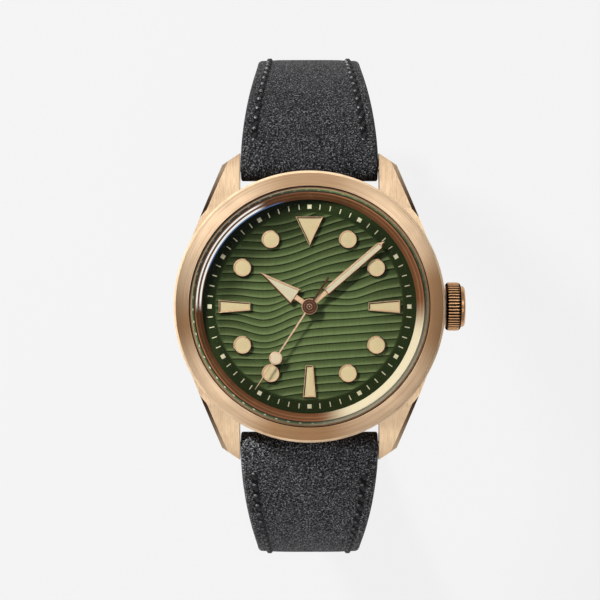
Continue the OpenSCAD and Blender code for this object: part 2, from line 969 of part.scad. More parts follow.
module third_wheel() {
  color(brass) {
    level(third_p, low_z, wheel_t)
      wheel(third_teeth, third_mod, 0, 5, 1);
    level(third_p, top_level - run, wheel_t + 2 * run)
      gear(leaves, centre_mod, mesh(centre_teeth, 0, leaves, third_a));
    arbor(third_p, arbor_r);
  }
}

module fourth_wheel() {
  color(brass) {
    level(fourth_p, up_level, wheel_t)
      wheel(fourth_teeth, fourth_mod, 0, 4, 0.9);
    level(fourth_p, low_z - run, wheel_t + 2 * run)
      gear(leaves, third_mod, mesh(third_teeth, 0, leaves, fourth_a));
    arbor(fourth_p, arbor_r);
  }
}

module escape_wheel() {
  rim = escape_r - 0.45;
  color(steel) {
    level(escape_p, escape_level, wheel_t) {
      difference() {
        circle(rim);
        difference() {
          circle(rim - 0.25);
          circle(0.45);
          for (i = [0:3])
            rotate(90 * i)
              translate([0, -0.12])
                square([rim, 0.24]);
        }
      }
      for (i = [0:escape_teeth - 1])
        rotate(360 * i / escape_teeth)
          polygon([[rim - 0.1, -0.12], [escape_r, 0.2], [escape_r - 0.06, 0.3], [rim - 0.1, 0.14]]);
    }
    level(escape_p, up_level - run, escape_level - up_level + run)
      gear(escape_leaves, fourth_mod);
    arbor(escape_p, 0.2);
  }
}

module pallet_fork() {
  to_escape = atan2(escape_p[1] - fork_p[1], escape_p[0] - fork_p[0]);
  to_balance = atan2(balance_p[1] - fork_p[1], balance_p[0] - fork_p[0]);
  reach = 1.5;
  stem_len = 2.3;
  color(steel) {
    level(fork_p, escape_level, wheel_t) {
      circle(0.35);
      for (s = [-1, 1])
        rotate(to_escape + s * 75)
          translate([0, -0.13])
            square([reach, 0.26]);
      rotate(to_balance)
        difference() {
          translate([0, -0.12])
            square([stem_len, 0.24]);
          translate([stem_len - 0.25, -0.05])
            square([over, 0.1]);
        }
    }
    arbor(fork_p, 0.18);
  }
}

module balance_wheel() {
  rim_w = 0.45;
  rim_h = 0.35;
  arm = 0.4;
  color(brass) {
    level(balance_p, train_z + 2 * run, rim_h) {
      difference() {
        circle(balance_r);
        circle(balance_r - rim_w);
      }
      for (a = [0, 90])
        rotate(a)
          translate([-balance_r + rim_w / 2, -arm / 2])
            square([2 * balance_r - rim_w, arm]);
      circle(0.5);
    }
    level(balance_p, escape_level, wheel_t)
      circle(0.6);
    arbor(balance_p, 0.2);
  }
}

// Flat spiral of the hairspring, outwards from the staff
module hairspring() {
  turns = 5;
  steps = 20;
  ribbon = 0.07;
  from = 0.45;
  pitch = 0.27;
  spiral = [for (i = [0:turns * steps]) polar(from + pitch * i / steps, 360 * i / steps)];
  outer = [for (i = [turns * steps:-1:0]) polar(from + ribbon + pitch * i / steps, 360 * i / steps)];
  color([0.25, 0.3, 0.45])
    level(balance_p, mid_level, wheel_t)
      polygon(concat(spiral, outer));
}

module minute_wheel() {
  post_bore = 0.4;
  color(brass)
    difference() {
      union() {
        level(minute_p, motion_low, wheel_t)
          gear(minute_teeth, cannon_mod, mesh(cannon_leaves, 0, minute_teeth, motion_a));
        level(minute_p, motion_low + wheel_t, motion_high - motion_low)
          gear(minute_leaves, hour_mod);
      }
      level(minute_p, motion_z - over, 2)
        circle(post_bore);
    }
}

module hour_wheel() {
  color(brass)
    difference() {
      union() {
        level([0, 0], motion_high, wheel_t)
          gear(hour_teeth, hour_mod, mesh(minute_leaves, 0, hour_teeth, motion_a + 180));
        level([0, 0], motion_high, hour_z + hand_t - motion_high)
          circle(hour_tube_r);
      }
      level([0, 0], motion_z, crystal_z)
        circle(cannon_r + run);
    }
}

rotor_r = chamber_r - 1.2;
bearing_r = 1.45;

module rotor() {
  rim_w = 3;
  web = 0.4;
  hub = 2.6;
  color(brass)
    translate([0, 0, rotor_z]) {
      rotate_extrude(angle = 180)
        polygon([
          [hub - over, rotor_t - web], [rotor_r - rim_w, rotor_t - web], [rotor_r - rim_w, 0],
          [rotor_r, 0], [rotor_r, rotor_t], [hub - over, rotor_t]
        ]);
      translate([0, 0, rotor_t - web])
        ring(hub, bearing_r + run, web);
    }
}

module rotor_bearing() {
  flange = 0.25;
  color(steel)
    translate([0, 0, rotor_z]) {
      cylinder(r = bearing_r, h = bridge_z - rotor_z);
      translate([0, 0, rotor_t + run])
        cylinder(r = bearing_r + flange, h = bridge_z - rotor_z - rotor_t - run);
    }
}

// Spring bars

bar_half = lug_in - loose;
pin_depth = 2;

module spring_bar() {
  color(steel)
    translate([0, bar_y, bar_z])
      difference() {
        x_rod(bar_r, -bar_half, bar_half);
        for (m = [0, 1])
          mirror([m, 0, 0])
            x_rod(pin_r + run, bar_half - pin_depth - pin_travel - loose, bar_half + over);
      }
}

module bar_pin() {
  color(steel)
    translate([0, bar_y, bar_z])
      x_rod(pin_r, bar_half - pin_depth, lug_in + pin_reach);
}

module upper_bar() {
  spring_bar();
}

module lower_bar() {
  mirror([0, 1, 0])
    spring_bar();
}

module upper_pin_right() {
  bar_pin();
}

module upper_pin_left() {
  mirror([1, 0, 0])
    bar_pin();
}

module lower_pin_right() {
  mirror([0, 1, 0])
    bar_pin();
}

module lower_pin_left() {
  mirror([1, 0, 0])
    mirror([0, 1, 0])
      bar_pin();
}

// Strap: rings of one cross-section swept along the path

// Cross-section with rounded upper edges and a padded crown
function strap_section(half, lo, hi) =
  let (e = min(0.7, 0.35 * (hi - lo)), c = 0.08 * (hi - lo))
  let (side = [
    [half - 0.3 * e, lo], [half, lo + 0.3 * e], [half, hi - e],
    [half - 0.3 * e, hi - 0.3 * e], [half - e, hi], [half / 2, hi + c]
  ])
  concat(side, [for (i = [len(side) - 1:-1:0]) [-side[i][0], side[i][1]]]);
function flat_section(half, lo, hi) = [[half, lo], [half, hi], [-half, hi], [-half, lo]];
function placed(section, s) =
  let (a = path_a(s), y = path_y(s), z = path_z(s))
  [for (p = section) [p[0], y + p[1] * sin(a), z + p[1] * cos(a)]];

module sweep(rings) {
  n = len(rings[0]);
  last = len(rings) - 1;
  sides = [
    for (j = [0:last - 1], i = [0:n - 1])
      let (k = (i + 1) % n, a = j * n + i, b = j * n + k, c = a + n, d = b + n)
      each [[a, c, b], [b, c, d]]
  ];
  caps = [for (i = [1:n - 2]) each [[0, i, i + 1], [last * n, last * n + i + 1, last * n + i]]];
  polyhedron([for (r = rings) each r], concat(sides, caps));
}

round_steps = [78, 55, 30, 10];
corner = 0.8;
// Ring of a rounded end: s0 is the centre of the round, dir the side it closes
function round_ring(s0, dir, angle) =
  let (h = strap_thick(s0) / 2, c = cos(angle))
  placed(
    strap_section(strap_half(s0) - corner * (1 - c), -h * c, h * c), s0 + dir * h * sin(angle)
  );
function body_ring(s, lined) =
  let (h = strap_thick(s) / 2)
  placed(strap_section(strap_half(s), lined ? lining_t + lining_gap - h : -h, h), s);
function spaced(from, to, n) = [for (i = [0:n]) from + (to - from) * i / n];
step_len = 0.3;
// The leather goes round the bar in full and carries the lining between its ends
function leather_start() = concat(
  [for (a = round_steps) round_ring(0, -1, a)],
  [for (s = [0, lining_from / 2, lining_from]) body_ring(s, false)]
);
fold_len = 10;
tail_steps = [0, 0.25, 0.45, 0.62, 0.76, 0.87, 0.94, 0.985];
function tail_half(s, t) = strap_half(s) * sqrt(1 - pow(t, 2.2));

upper_rings = concat(
  leather_start(),
  [for (s = spaced(lining_from + step_len, upper_len - fold_len - step_len, 32)) body_ring(s, true)],
  [for (s = spaced(upper_len - fold_len, upper_len, 5)) body_ring(s, false)],
  [for (i = [len(round_steps) - 1:-1:0]) round_ring(upper_len, 1, round_steps[i])]
);
lower_rings = concat(
  leather_start(),
  [for (s = spaced(lining_from + step_len, lower_len - tail_len - 1, 46)) body_ring(s, true)],
  [
    for (t = tail_steps)
      let (s = lower_len - tail_len * (1 - t), h = strap_thick(s) / 2)
      placed(strap_section(tail_half(s, t), lining_t + lining_gap - h, h), s)
  ]
);
lining_in = 0.1;
function lining_ring(s, half) =
  let (h = strap_thick(s) / 2)
  placed(flat_section(half - lining_in, -h, lining_t - h), s);
upper_lining_rings = [
  for (s = spaced(lining_from + 2 * step_len, upper_len - fold_len - 2 * step_len, 32))
    lining_ring(s, strap_half(s))
];
lower_lining_rings = concat(
  [
    for (s = spaced(lining_from + 2 * step_len, lower_len - tail_len - 1, 46))
      lining_ring(s, strap_half(s))
  ],
  [for (t = tail_steps) let (s = lower_len - tail_len * (1 - t)) lining_ring(s, tail_half(s, t))]
);

tongue_w = 2;
slot_w = tongue_w + 2 * loose;
slot_back = 6;
end_bar_r = end_bore_r - run;
hole_r = 0.95;
hole_first = 24;

module strap_upper() {
  color(suede)
    difference() {
      sweep(upper_rings);
      translate([0, bar_y, bar_z])
        x_rod(bar_bore, -strap_w, strap_w);
      on_path(upper_len) {
        x_rod(end_bore_r, -strap_w, strap_w);
        translate([-slot_w / 2, -slot_back, -strap_t])
          cube([slot_w, slot_back + strap_t, 2 * strap_t]);
      }
    }
}

module lining_upper() {
  color(black)
    sweep(upper_lining_rings);
}

module strap_holes() {
  for (i = [0:hole_n - 1])
    on_path(lower_len - hole_first - i * hole_pitch)
      cylinder(r = hole_r, h = 2 * strap_t, center = true);
}

module strap_lower() {
  color(suede)
    mirror([0, 1, 0])
      difference() {
        sweep(lower_rings);
        translate([0, bar_y, bar_z])
          x_rod(bar_bore, -strap_w, strap_w);
        strap_holes();
      }
}

module lining_lower() {
  color(black)
    mirror([0, 1, 0])
      difference() {
        sweep(lower_lining_rings);
        strap_holes();
      }
}

// Keepers and buckle

module round_rect(x, lo, hi, r) {
  translate([-x, lo + r])
    square([2 * x, hi - lo - 2 * r]);
  translate([-x + r, lo])
    square([2 * x - 2 * r, hi - lo]);
  for (px = [-x + r, x - r], py = [lo + r, hi - r])
    translate([px, py])
      circle(r, $fn = 48);
}

keeper_back = 10;
keeper_step = 6.6;
fixed_at = upper_len - keeper_back;
free_at = fixed_at - keeper_step;

// Loop round the strap with room for the other half's end
module keeper(s) {
  half = strap_half(s) + loose;
  lo = -strap_thick(s) / 2 - loose;
  hi = 1.5 * strap_end_t + 3 * loose;
  color(suede)
    on_path(s)
      rotate([90, 0, 0])
        linear_extrude(keeper_len, center = true)
          difference() {
            round_rect(half + keeper_wall, lo - keeper_wall, hi + keeper_wall, keeper_wall);
            round_rect(half, lo, hi, keeper_wall / 2);
          }
}

module fixed_keeper() {
  keeper(fixed_at);
}

module free_keeper() {
  keeper(free_at);
}

buckle_in = strap_end_w / 2 + loose;
buckle_out = buckle_in + buckle_side;
front_r = 1.2;
arm_back = 1.3;
tongue_z = 0.3;
tongue_t = 0.9;

module buckle_bar() {
  color(steel)
    on_path(upper_len)
      x_rod(end_bar_r, -buckle_out + loose, buckle_out - loose);
}

module buckle_frame() {
  corner_r = 2;
  color(bronze)
    on_path(upper_len)
      difference() {
        union() {
          translate([0, 0, -buckle_t / 2])
            linear_extrude(buckle_t)
              difference() {
                round_rect(buckle_out, -arm_back, buckle_len, arm_back);
                translate([-buckle_in, -2 * arm_back])
                  square([2 * buckle_in, buckle_len - 2 * front_r + 2 * arm_back]);
              }
          translate([0, buckle_len - front_r, 0])
            x_rod(front_r, -buckle_out + corner_r, buckle_out - corner_r);
        }
        x_rod(end_bore_r, -buckle_out + loose / 2, buckle_out - loose / 2);
        translate([-tongue_w / 2 - run, buckle_len - 4 * front_r, tongue_z - run])
          cube([tongue_w + 2 * run, 6 * front_r, 2 * front_r]);
      }
}

module buckle_tongue() {
  eye_r = 1.2;
  reach = buckle_len + loose;
  color(bronze)
    on_path(upper_len)
      difference() {
        union() {
          x_rod(eye_r, -tongue_w / 2, tongue_w / 2);
          rotate([90, 0, 90])
            linear_extrude(tongue_w, center = true)
              polygon([
                [0, tongue_z], [reach, tongue_z], [reach, tongue_z + tongue_t / 2],
                [reach - 2 * tongue_t, tongue_z + tongue_t], [0, tongue_z + tongue_t]
              ]);
        }
        x_rod(end_bore_r, -tongue_w, tongue_w);
      }
}

mid_case();
bezel();
crystal();
crystal_gasket();
rehaut_ring();
case_back();
back_gasket();
crown();
crown_tube();
crown_gasket();
stem();
setting_lever();
dial();
marker_frames();
marker_lume();
hour_hand();
hour_lume();
minute_hand();
minute_lume();
seconds_hand();
seconds_lume();
movement_ring();
main_plate();
train_bridge();
jewels();
barrel();
centre_wheel();
third_wheel();
fourth_wheel();
escape_wheel();
pallet_fork();
balance_wheel();
hairspring();
seconds_pinion();
minute_wheel();
hour_wheel();
rotor();
rotor_bearing();
upper_bar();
lower_bar();
upper_pin_left();
upper_pin_right();
lower_pin_left();
lower_pin_right();
strap_upper();
lining_upper();
strap_lower();
lining_lower();
fixed_keeper();
free_keeper();
buckle_bar();
buckle_frame();
buckle_tongue();
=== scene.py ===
"""Dresses the dive watch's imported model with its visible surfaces, finishes, light and camera."""

import json

import bpy
import numpy as np
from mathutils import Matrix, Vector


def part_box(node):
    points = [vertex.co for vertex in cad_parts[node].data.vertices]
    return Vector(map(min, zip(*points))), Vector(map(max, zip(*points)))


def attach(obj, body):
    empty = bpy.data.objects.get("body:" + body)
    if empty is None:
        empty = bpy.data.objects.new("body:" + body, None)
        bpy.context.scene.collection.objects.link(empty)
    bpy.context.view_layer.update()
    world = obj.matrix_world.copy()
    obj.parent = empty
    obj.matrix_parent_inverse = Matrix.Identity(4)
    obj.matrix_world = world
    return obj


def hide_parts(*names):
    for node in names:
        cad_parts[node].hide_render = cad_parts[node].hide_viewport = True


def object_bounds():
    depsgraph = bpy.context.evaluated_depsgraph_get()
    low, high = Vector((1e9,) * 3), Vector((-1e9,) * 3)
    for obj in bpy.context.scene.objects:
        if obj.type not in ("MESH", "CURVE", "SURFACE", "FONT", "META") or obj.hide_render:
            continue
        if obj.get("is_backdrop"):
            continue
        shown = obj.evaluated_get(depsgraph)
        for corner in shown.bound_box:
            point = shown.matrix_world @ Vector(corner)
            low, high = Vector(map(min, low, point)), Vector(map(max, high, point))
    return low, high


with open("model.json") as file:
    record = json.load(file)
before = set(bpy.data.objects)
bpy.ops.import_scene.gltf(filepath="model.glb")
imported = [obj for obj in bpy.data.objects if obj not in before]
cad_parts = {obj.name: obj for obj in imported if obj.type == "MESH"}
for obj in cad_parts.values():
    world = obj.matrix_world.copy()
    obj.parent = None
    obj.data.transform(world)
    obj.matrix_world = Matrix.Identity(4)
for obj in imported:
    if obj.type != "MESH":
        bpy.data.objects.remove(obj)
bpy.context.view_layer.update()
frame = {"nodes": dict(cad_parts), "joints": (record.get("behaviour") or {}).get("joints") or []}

bl_info = {
    "name": "Dive watch dresser",
    "version": (1, 0, 0),
    "blender": (4, 5, 0),
    "location": "View3D > Sidebar > Watch",
    "description": "Builds the watch's visible pieces and finishes round the packed model",
    "category": "Object",
}

MM = 0.001
TURN = 2 * np.pi


def top_of(node):
    """Height of a node's highest point, in millimetres."""
    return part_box(node)[1].z / MM


def low_of(node):
    """Height of a node's lowest point, in millimetres."""
    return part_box(node)[0].z / MM


def reach_of(node):
    """Half of a round node's width, in millimetres."""
    low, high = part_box(node)
    return (high.x - low.x) / 2 / MM


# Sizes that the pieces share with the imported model, in millimetres

DIAL_R, DIAL_TOP = reach_of("dial"), low_of("rehaut_ring")
MARKER_Z, MARKER_TOP = low_of("marker_frames"), top_of("marker_frames")
BEZEL_R, BEZEL_Z, BEZEL_TOP = reach_of("bezel"), low_of("bezel"), top_of("bezel")
CRYSTAL_R, CRYSTAL_Z, CRYSTAL_TOP = reach_of("crystal"), low_of("crystal"), top_of("crystal")
JOINTS = {j["name"]: j for j in frame["joints"]}
BAR_Y = JOINTS["upper_strap_swing"]["pos_m"][1] / MM
BAR_Z = JOINTS["upper_strap_swing"]["pos_m"][2] / MM
LOOP_LOW_Z = JOINTS["keeper_slide"]["pos_m"][2] / MM
STEM_Z = JOINTS["crown_turn"]["pos_m"][2] / MM

# The strap's loop, then its width and thickness and the lengths over which they taper
LOOP_R = 37.8
LOOP_DROP = BAR_Z - np.sqrt(LOOP_R**2 - BAR_Y**2) - LOOP_LOW_Z
STRAP_W, STRAP_END_W, WIDTH_TAPER = 20.0, 16.0, 30.0
STRAP_T, STRAP_END_T, THICKNESS_TAPER = 3.6, 2.6, 40.0

# The halves' lengths, the lining, the buckle half's fold and slot, and the hole half's tail
UPPER_LEN, LOWER_LEN = 84.0, 103.0
LINING_T, LINING_FROM, LINING_GAP = 0.8, 4.0, 0.03
FOLD, SLOT_W, SLOT_BACK = 10.0, 2.6, 6.0
TAIL = 9.0
HOLES = LOWER_LEN - 24.0 - 6.5 * np.arange(7)
HOLE_R = 0.95

# Sizes of the visible surfaces alone, in millimetres, and the points in their circles
BEZEL_OVERLAP = 0.34
FLUTES, FLUTE_DEPTH = 48, 0.24
SEAM_FROM, STITCH_SHARE = 3.6, 0.72
HIDE_STEP, LINING_STEP, LINING_INSET = 0.3, 0.5, 0.1
WELD, COARSE_WELD = 0.0005, 0.002
RING_STEPS, CRYSTAL_STEPS, DIAL_STEPS, HUB_STEPS, DISC_STEPS = 320, 256, 256, 72, 64

# Angles between faces, in degrees, from which an edge stays crisp or is rounded
CRISP_SHELL, CRISP_SOLID, ROUND_FROM = 35, 28, 32


# Meshes


def smooth(t):
    """Eases 0 to 1 with level ends: t squared times (3 - 2 t)."""
    u = np.clip(t, 0, 1)
    return u * u * (3 - 2 * u)


def linked(name, data):
    """A new object in the scene, at the origin."""
    obj = bpy.data.objects.new(name, data)
    bpy.context.scene.collection.objects.link(obj)
    return obj


def quads(rows, cols, close_rows, close_cols):
    """Corner indices of a grid's cells, row by row, wrapped round where a side is closed."""
    r = np.arange(rows if close_rows else rows - 1)
    c = np.arange(cols if close_cols else cols - 1)
    i, j = np.meshgrid(r, c, indexing="ij")
    k, m = (i + 1) % rows, (j + 1) % cols
    cells = np.stack([i * cols + j, i * cols + m, k * cols + m, k * cols + j], -1)
    return cells.reshape(-1, 4)


class Shell:
    """Grids of points in millimetres, gathered into one mesh with a flat map per corner."""

    def __init__(self):
        self.points, self.cells, self.maps, self.slots, self.size = [], [], [], [], 0

    def grid(self, p, uv=None, close_rows=False, close_cols=True, slot=0, flip=False):
        """Adds a grid of points; uv runs in millimetres along its rows and columns.

        Without a uv, the flat map counts rows and columns. The last cell of a closed row is
        mapped one step past the one before it, so that the map doesn't run back over the row.
        """
        rows, cols = p.shape[:2]
        cells = quads(rows, cols, close_rows, close_cols)
        if uv is None:
            i, j = np.meshgrid(np.arange(rows), np.arange(cols), indexing="ij")
            uv = np.stack([i, j], -1).astype(float)
        corners = uv.reshape(-1, 2)[cells]
        if close_cols:
            step = uv[0, 1, 1] - uv[0, 0, 1]
            last = cells[:, 1] % cols < cells[:, 0] % cols
            corners[last, 1, 1] = corners[last, 0, 1] + step
            corners[last, 2, 1] = corners[last, 3, 1] + step
        if flip:
            cells, corners = cells[:, ::-1], corners[:, ::-1]
        self.points.append(p.reshape(-1, 3))
        self.cells.append(cells + self.size)
        self.maps.append(corners.reshape(-1, 2))
        self.slots.append(np.full(len(cells), slot))
        self.size += rows * cols
        return self

    def keep(self, k, kept):
        """Drops the cells of grid k that aren't kept."""
        self.cells[k] = self.cells[k][kept]
        self.maps[k] = self.maps[k].reshape(-1, 4, 2)[kept].reshape(-1, 2)
        self.slots[k] = self.slots[k][kept]

    def mirror(self):
        """Mirrors all to the 6 o'clock side and turns the cells the right way out again."""
        self.points = [p * np.array([1, -1, 1]) for p in self.points]
        self.cells = [c[:, ::-1] for c in self.cells]
        self.maps = [m.reshape(-1, 4, 2)[:, ::-1].reshape(-1, 2) for m in self.maps]
        return self

    def build(self, name, body, node_slot, finishes, stands_for=(), weld=WELD):
        """Makes the object, welds doubled points, and ties it to its body; node_slot is not used."""
        points = np.concatenate(self.points) * MM
        cells = np.concatenate(self.cells)
        mesh = bpy.data.meshes.new(name)
        mesh.from_pydata(points.tolist(), [], cells.tolist())
        layer = mesh.uv_layers.new(name="flat")
        layer.data.foreach_set("uv", (np.concatenate(self.maps) * MM).ravel())
        mesh.polygons.foreach_set("use_smooth", np.ones(len(cells), bool))
        mesh.polygons.foreach_set("material_index", np.concatenate(self.slots))
        for finish in finishes:
            mesh.materials.append(finish)
        mesh.update()
        obj = linked(name, mesh)
        if weld:
            obj.modifiers.new("close seams", "WELD").merge_threshold = weld * MM
        obj.modifiers.new("crisp edges", "EDGE_SPLIT").split_angle = np.radians(CRISP_SHELL)
        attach(obj, body)
        if stands_for:
            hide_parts(*stands_for)


def run_length(line):
    """Length along a polyline, from its first point to each of its points."""
    return np.concatenate([[0], np.cumsum(np.hypot(*np.diff(line, axis=0).T))])


def turned(profile, steps):
    """Turns a profile of radius r and height round Z: x = r cos a, y = r sin a.

    Returns the points and their flat map, the length along the profile and round its widest place.
    """
    prof = np.asarray(profile, float)
    a = np.linspace(0, TURN, steps, endpoint=False)
    r, z = prof[:, 0][:, None], prof[:, 1][:, None]
    p = np.stack([r * np.cos(a), r * np.sin(a), z + 0 * a], -1)
    along, around = run_length(prof)[:, None], (a * prof[:, 0].max())[None, :]
    return p, np.stack(np.broadcast_arrays(along, around), -1)


def filleted(points, radii, steps=5):
    """Rounds a polyline's corners: a corner c between the cuts a and b becomes a curve.

    The curve is (1 - t)^2 a + 2 t (1 - t) c + t^2 b.
    """
    pts = np.asarray(points, float)
    out = [pts[:1]]
    t = np.linspace(0, 1, steps)[:, None]
    for before, corner, after, r in zip(pts[:-2], pts[1:-1], pts[2:], radii):
        u, v = before - corner, after - corner
        lu, lv = np.hypot(*u), np.hypot(*v)
        cut = min(r, 0.45 * lu, 0.45 * lv)
        a, b = corner + u / lu * cut, corner + v / lv * cut
        out.append((1 - t) ** 2 * a + 2 * t * (1 - t) * corner + t**2 * b)
    out.append(pts[-1:])
    return np.concatenate(out)


def closed_rounds(section, radii, steps):
    """Closed outline with every corner rounded."""
    p = np.asarray(section, float)
    ring = np.concatenate([p[-1:], p, p[:1]])
    return filleted(ring, radii, steps)[1:-1]


def inset(outline, d):
    """Moves a convex anticlockwise outline inwards by d.

    A corner moves by d times the sum of its sides' inward normals, over 1 plus their dot product.
    """
    p = np.asarray(outline, float)
    u = p - np.roll(p, 1, 0)
    u /= np.hypot(*u.T)[:, None]
    v = np.roll(u, -1, 0)
    n1 = np.stack([-u[:, 1], u[:, 0]], -1)
    n2 = np.stack([-v[:, 1], v[:, 0]], -1)
    dot = (n1 * n2).sum(1, keepdims=True)
    return p + d * (n1 + n2) / (1 + dot)


def stacked(outlines, heights):
    """Stacks outlines of one point count at their heights, as the rows of a grid."""
    return np.stack([np.column_stack([o, np.full(len(o), z)]) for o, z in zip(outlines, heights)])


def about_z(p, clockwise):
    """Turns points clockwise about Z by an angle in degrees."""
    a = -np.radians(clockwise)
    x, y = p[..., 0], p[..., 1]
    turned_p = [x * np.cos(a) - y * np.sin(a), x * np.sin(a) + y * np.cos(a), p[..., 2]]
    return np.stack(turned_p, -1)


# Shader maths


def math_node(kind, swapped=False):
    """A method of Value that adds one Math node; swapped puts the other operand first."""

    def method(self, *others):
        values = (*others, self) if swapped else (self, *others)
        return self.finish.add("ShaderNodeMath", {"operation": kind}, dict(enumerate(values)))

    return method


class Value:
    """A socket in a finish's node tree; arithmetic on it adds Math nodes.

    size is the absolute value, most the larger of two values, and angle_to the angle whose sine
    side is this value and whose cosine side is the other.
    """

    __add__, __radd__ = math_node("ADD"), math_node("ADD", True)
    __sub__, __rsub__ = math_node("SUBTRACT"), math_node("SUBTRACT", True)
    __mul__, __rmul__ = math_node("MULTIPLY"), math_node("MULTIPLY", True)
    __truediv__, __rtruediv__ = math_node("DIVIDE"), math_node("DIVIDE", True)
    sin, size, root = math_node("SINE"), math_node("ABSOLUTE"), math_node("SQRT")
    most, angle_to = math_node("MAXIMUM"), math_node("ARCTAN2")

    def __init__(self, finish, socket):
        self.finish, self.socket = finish, socket

    def ramp(self, low, high):
        """0 below low, 1 above high, eased between; low may be the larger."""
        rise = {"interpolation_type": "SMOOTHSTEP"}
        ends = {"Value": self, "From Min": low, "From Max": high}
        return self.finish.add("ShaderNodeMapRange", rise, ends)

    def near(self, middle, edge, core):
        """1 within core of a middle value, eased to 0 at edge."""
        return (self - middle).size().ramp(edge, core)


class Finish:
    """A material, or the world, whose nodes are added by expressions."""

    def __init__(self, name, kind="Material"):
        family = bpy.data.worlds if kind == "World" else bpy.data.materials
        self.owner = family.new(name)
        self.owner.use_nodes = True
        self.tree = self.owner.node_tree
        self.tree.nodes.clear()
        self.out = self.tree.nodes.new("ShaderNodeOutput" + kind)

    def add(self, kind, settings=None, inputs=None, output=0):
        """Adds a node, sets its settings, then its sockets' values or links."""
        node = self.tree.nodes.new(kind)
        for key, value in (settings or {}).items():
            setattr(node, key, value)
        for key, value in (inputs or {}).items():
            socket = node.inputs[key]
            if isinstance(value, Value):
                self.tree.links.new(value.socket, socket)
            else:
                socket.default_value = value
        return Value(self, node.outputs[output])

    def place(self):
        """Object coordinates, in metres."""
        return self.add("ShaderNodeTexCoord", output="Object")

    def flat(self):
        """The piece's own flat map, in metres."""
        return self.add("ShaderNodeUVMap", {"uv_map": "flat"})

    def parts(self, vector):
        """The three values of a vector."""
        split = self.add("ShaderNodeSeparateXYZ", inputs={0: vector}).socket.node
        return [Value(self, s) for s in split.outputs]

    def round_z(self, place):
        """A place's three values and its distance from the Z axis, in metres."""
        x, y, z = self.parts(place)
        return x, y, z, (x * x + y * y).root()

    def vector(self, x, y, z):
        """A vector of three values."""
        return self.add("ShaderNodeCombineXYZ", inputs={0: x, 1: y, 2: z})

    def scaled(self, vector, factors):
        """A vector with each of its values times its own factor."""
        return self.add("ShaderNodeVectorMath", {"operation": "MULTIPLY"}, {0: vector, 1: factors})

    def normal(self):
        """The surface's own direction, as three values."""
        return self.parts(self.add("ShaderNodeNewGeometry", output="Normal"))

    def ray(self, kind):
        """1 for one kind of ray, such as Camera, and 0 for the others."""
        return self.add("ShaderNodeLightPath", output=f"Is {kind} Ray")

    def lobe(self, x, y, turn, half):
        """1 at a direction round Z, in degrees, falling to 0 at half degrees to either side."""
        a = np.radians(turn)
        near = (x * np.cos(a) + y * np.sin(a)) / (x * x + y * y).root().most(1e-6)
        return near.ramp(np.cos(np.radians(half)), 1.0)

    def noise(self, vector, scale, detail=3.0, rough=0.55):
        """Cloud noise from 0 to 1; scale is in lumps per metre."""
        inputs = {"Vector": vector, "Scale": scale, "Detail": detail, "Roughness": rough}
        return self.add("ShaderNodeTexNoise", inputs=inputs)

    def cells(self, vector, scale):
        """Distance to the nearest of scattered points."""
        return self.add("ShaderNodeTexVoronoi", inputs={"Vector": vector, "Scale": scale})

    def layers(self, base, *coats):
        """A colour under coats of others, each given by its amount and its colour."""
        settings = {"data_type": "RGBA", "clamp_factor": True}
        for amount, coat in coats:
            base = self.add("ShaderNodeMix", settings, {0: amount, 6: base, 7: coat}, output=2)
        return base

    def bump(self, height, depth, strength, under=None):
        """Normal from a height of 0 to 1 and a depth in metres."""
        inputs = {"Height": height, "Distance": depth, "Strength": strength}
        if under:
            inputs["Normal"] = under
        return self.add("ShaderNodeBump", inputs=inputs)

    def surface(self, **inputs):
        """Principled surface; a name's underscores stand for spaces."""
        named = {key.replace("_", " "): value for key, value in inputs.items()}
        return self.add("ShaderNodeBsdfPrincipled", inputs=named)

    def blend(self, amount, one, other):
        """Ends the material with a mix of two shaders."""
        return self.done(self.add("ShaderNodeMixShader", inputs={0: amount, 1: one, 2: other}))

    def skin(self, **inputs):
        """Ends the material with a principled surface."""
        return self.done(self.surface(**inputs))

    def done(self, shader):
        """Ends the material with a shader."""
        self.tree.links.new(shader.socket, self.out.inputs["Surface"])
        return self.owner


def rgba(r, g, b):
    """Linear colour from 0 to 255 screen values."""
    c = np.array([r, g, b]) / 255
    linear = np.where(c <= 0.04045, c / 12.92, ((c + 0.055) / 1.055) ** 2.4)
    return (*linear.tolist(), 1.0)


def tint(colour):
    """A colour property as the four values that a socket takes."""
    return (*colour, 1.0)


def times(colour, factor):
    """A colour made darker or paler by a factor."""
    return tuple(min(1.0, factor * c) for c in colour[:3]) + (1.0,)


# Sizes and colours that a user would change


def number(label, text, value, unit, **more):
    """A number property with a unit."""
    return bpy.props.FloatProperty(name=label, description=text, default=value, unit=unit, **more)


def length(label, text, value):
    """A length property; the default is given in millimetres."""
    return number(label, text, value * MM, "LENGTH", precision=5)


def colour(label, text, value):
    """A colour property; the default is given as 0 to 255 screen values."""
    shade = rgba(*value)[:3]
    return bpy.props.FloatVectorProperty(
        name=label, description=text, default=shade, size=3, min=0, max=1, subtype="COLOR"
    )


class WatchMetal(bpy.types.PropertyGroup):
    """Bronze of the case, bezel and crown, and gilt of the markers and hands."""

    bronze: colour("Bronze", "Brushed bronze of the case and lugs", (244, 214, 176))
    bezel: colour("Bezel", "Circular-brushed bronze of the bezel", (174, 136, 98))
    patina: colour("Patina", "Darker, redder bronze in the recesses", (150, 102, 70))
    gilt: colour("Gilt", "Polished metal of the markers and hands", (236, 194, 154))
    copper: colour("Copper", "Inner ring", (164, 104, 68))
    steel: colour("Steel", "Steel pieces", (190, 191, 193))
    brass: colour("Brass", "Brass wheels and plates", (205, 172, 104))
    brush: length("Brush pitch", "Width of one brushed line", 0.05)
    round: length("Edge round", "Radius of the small edge rounds", 0.09)


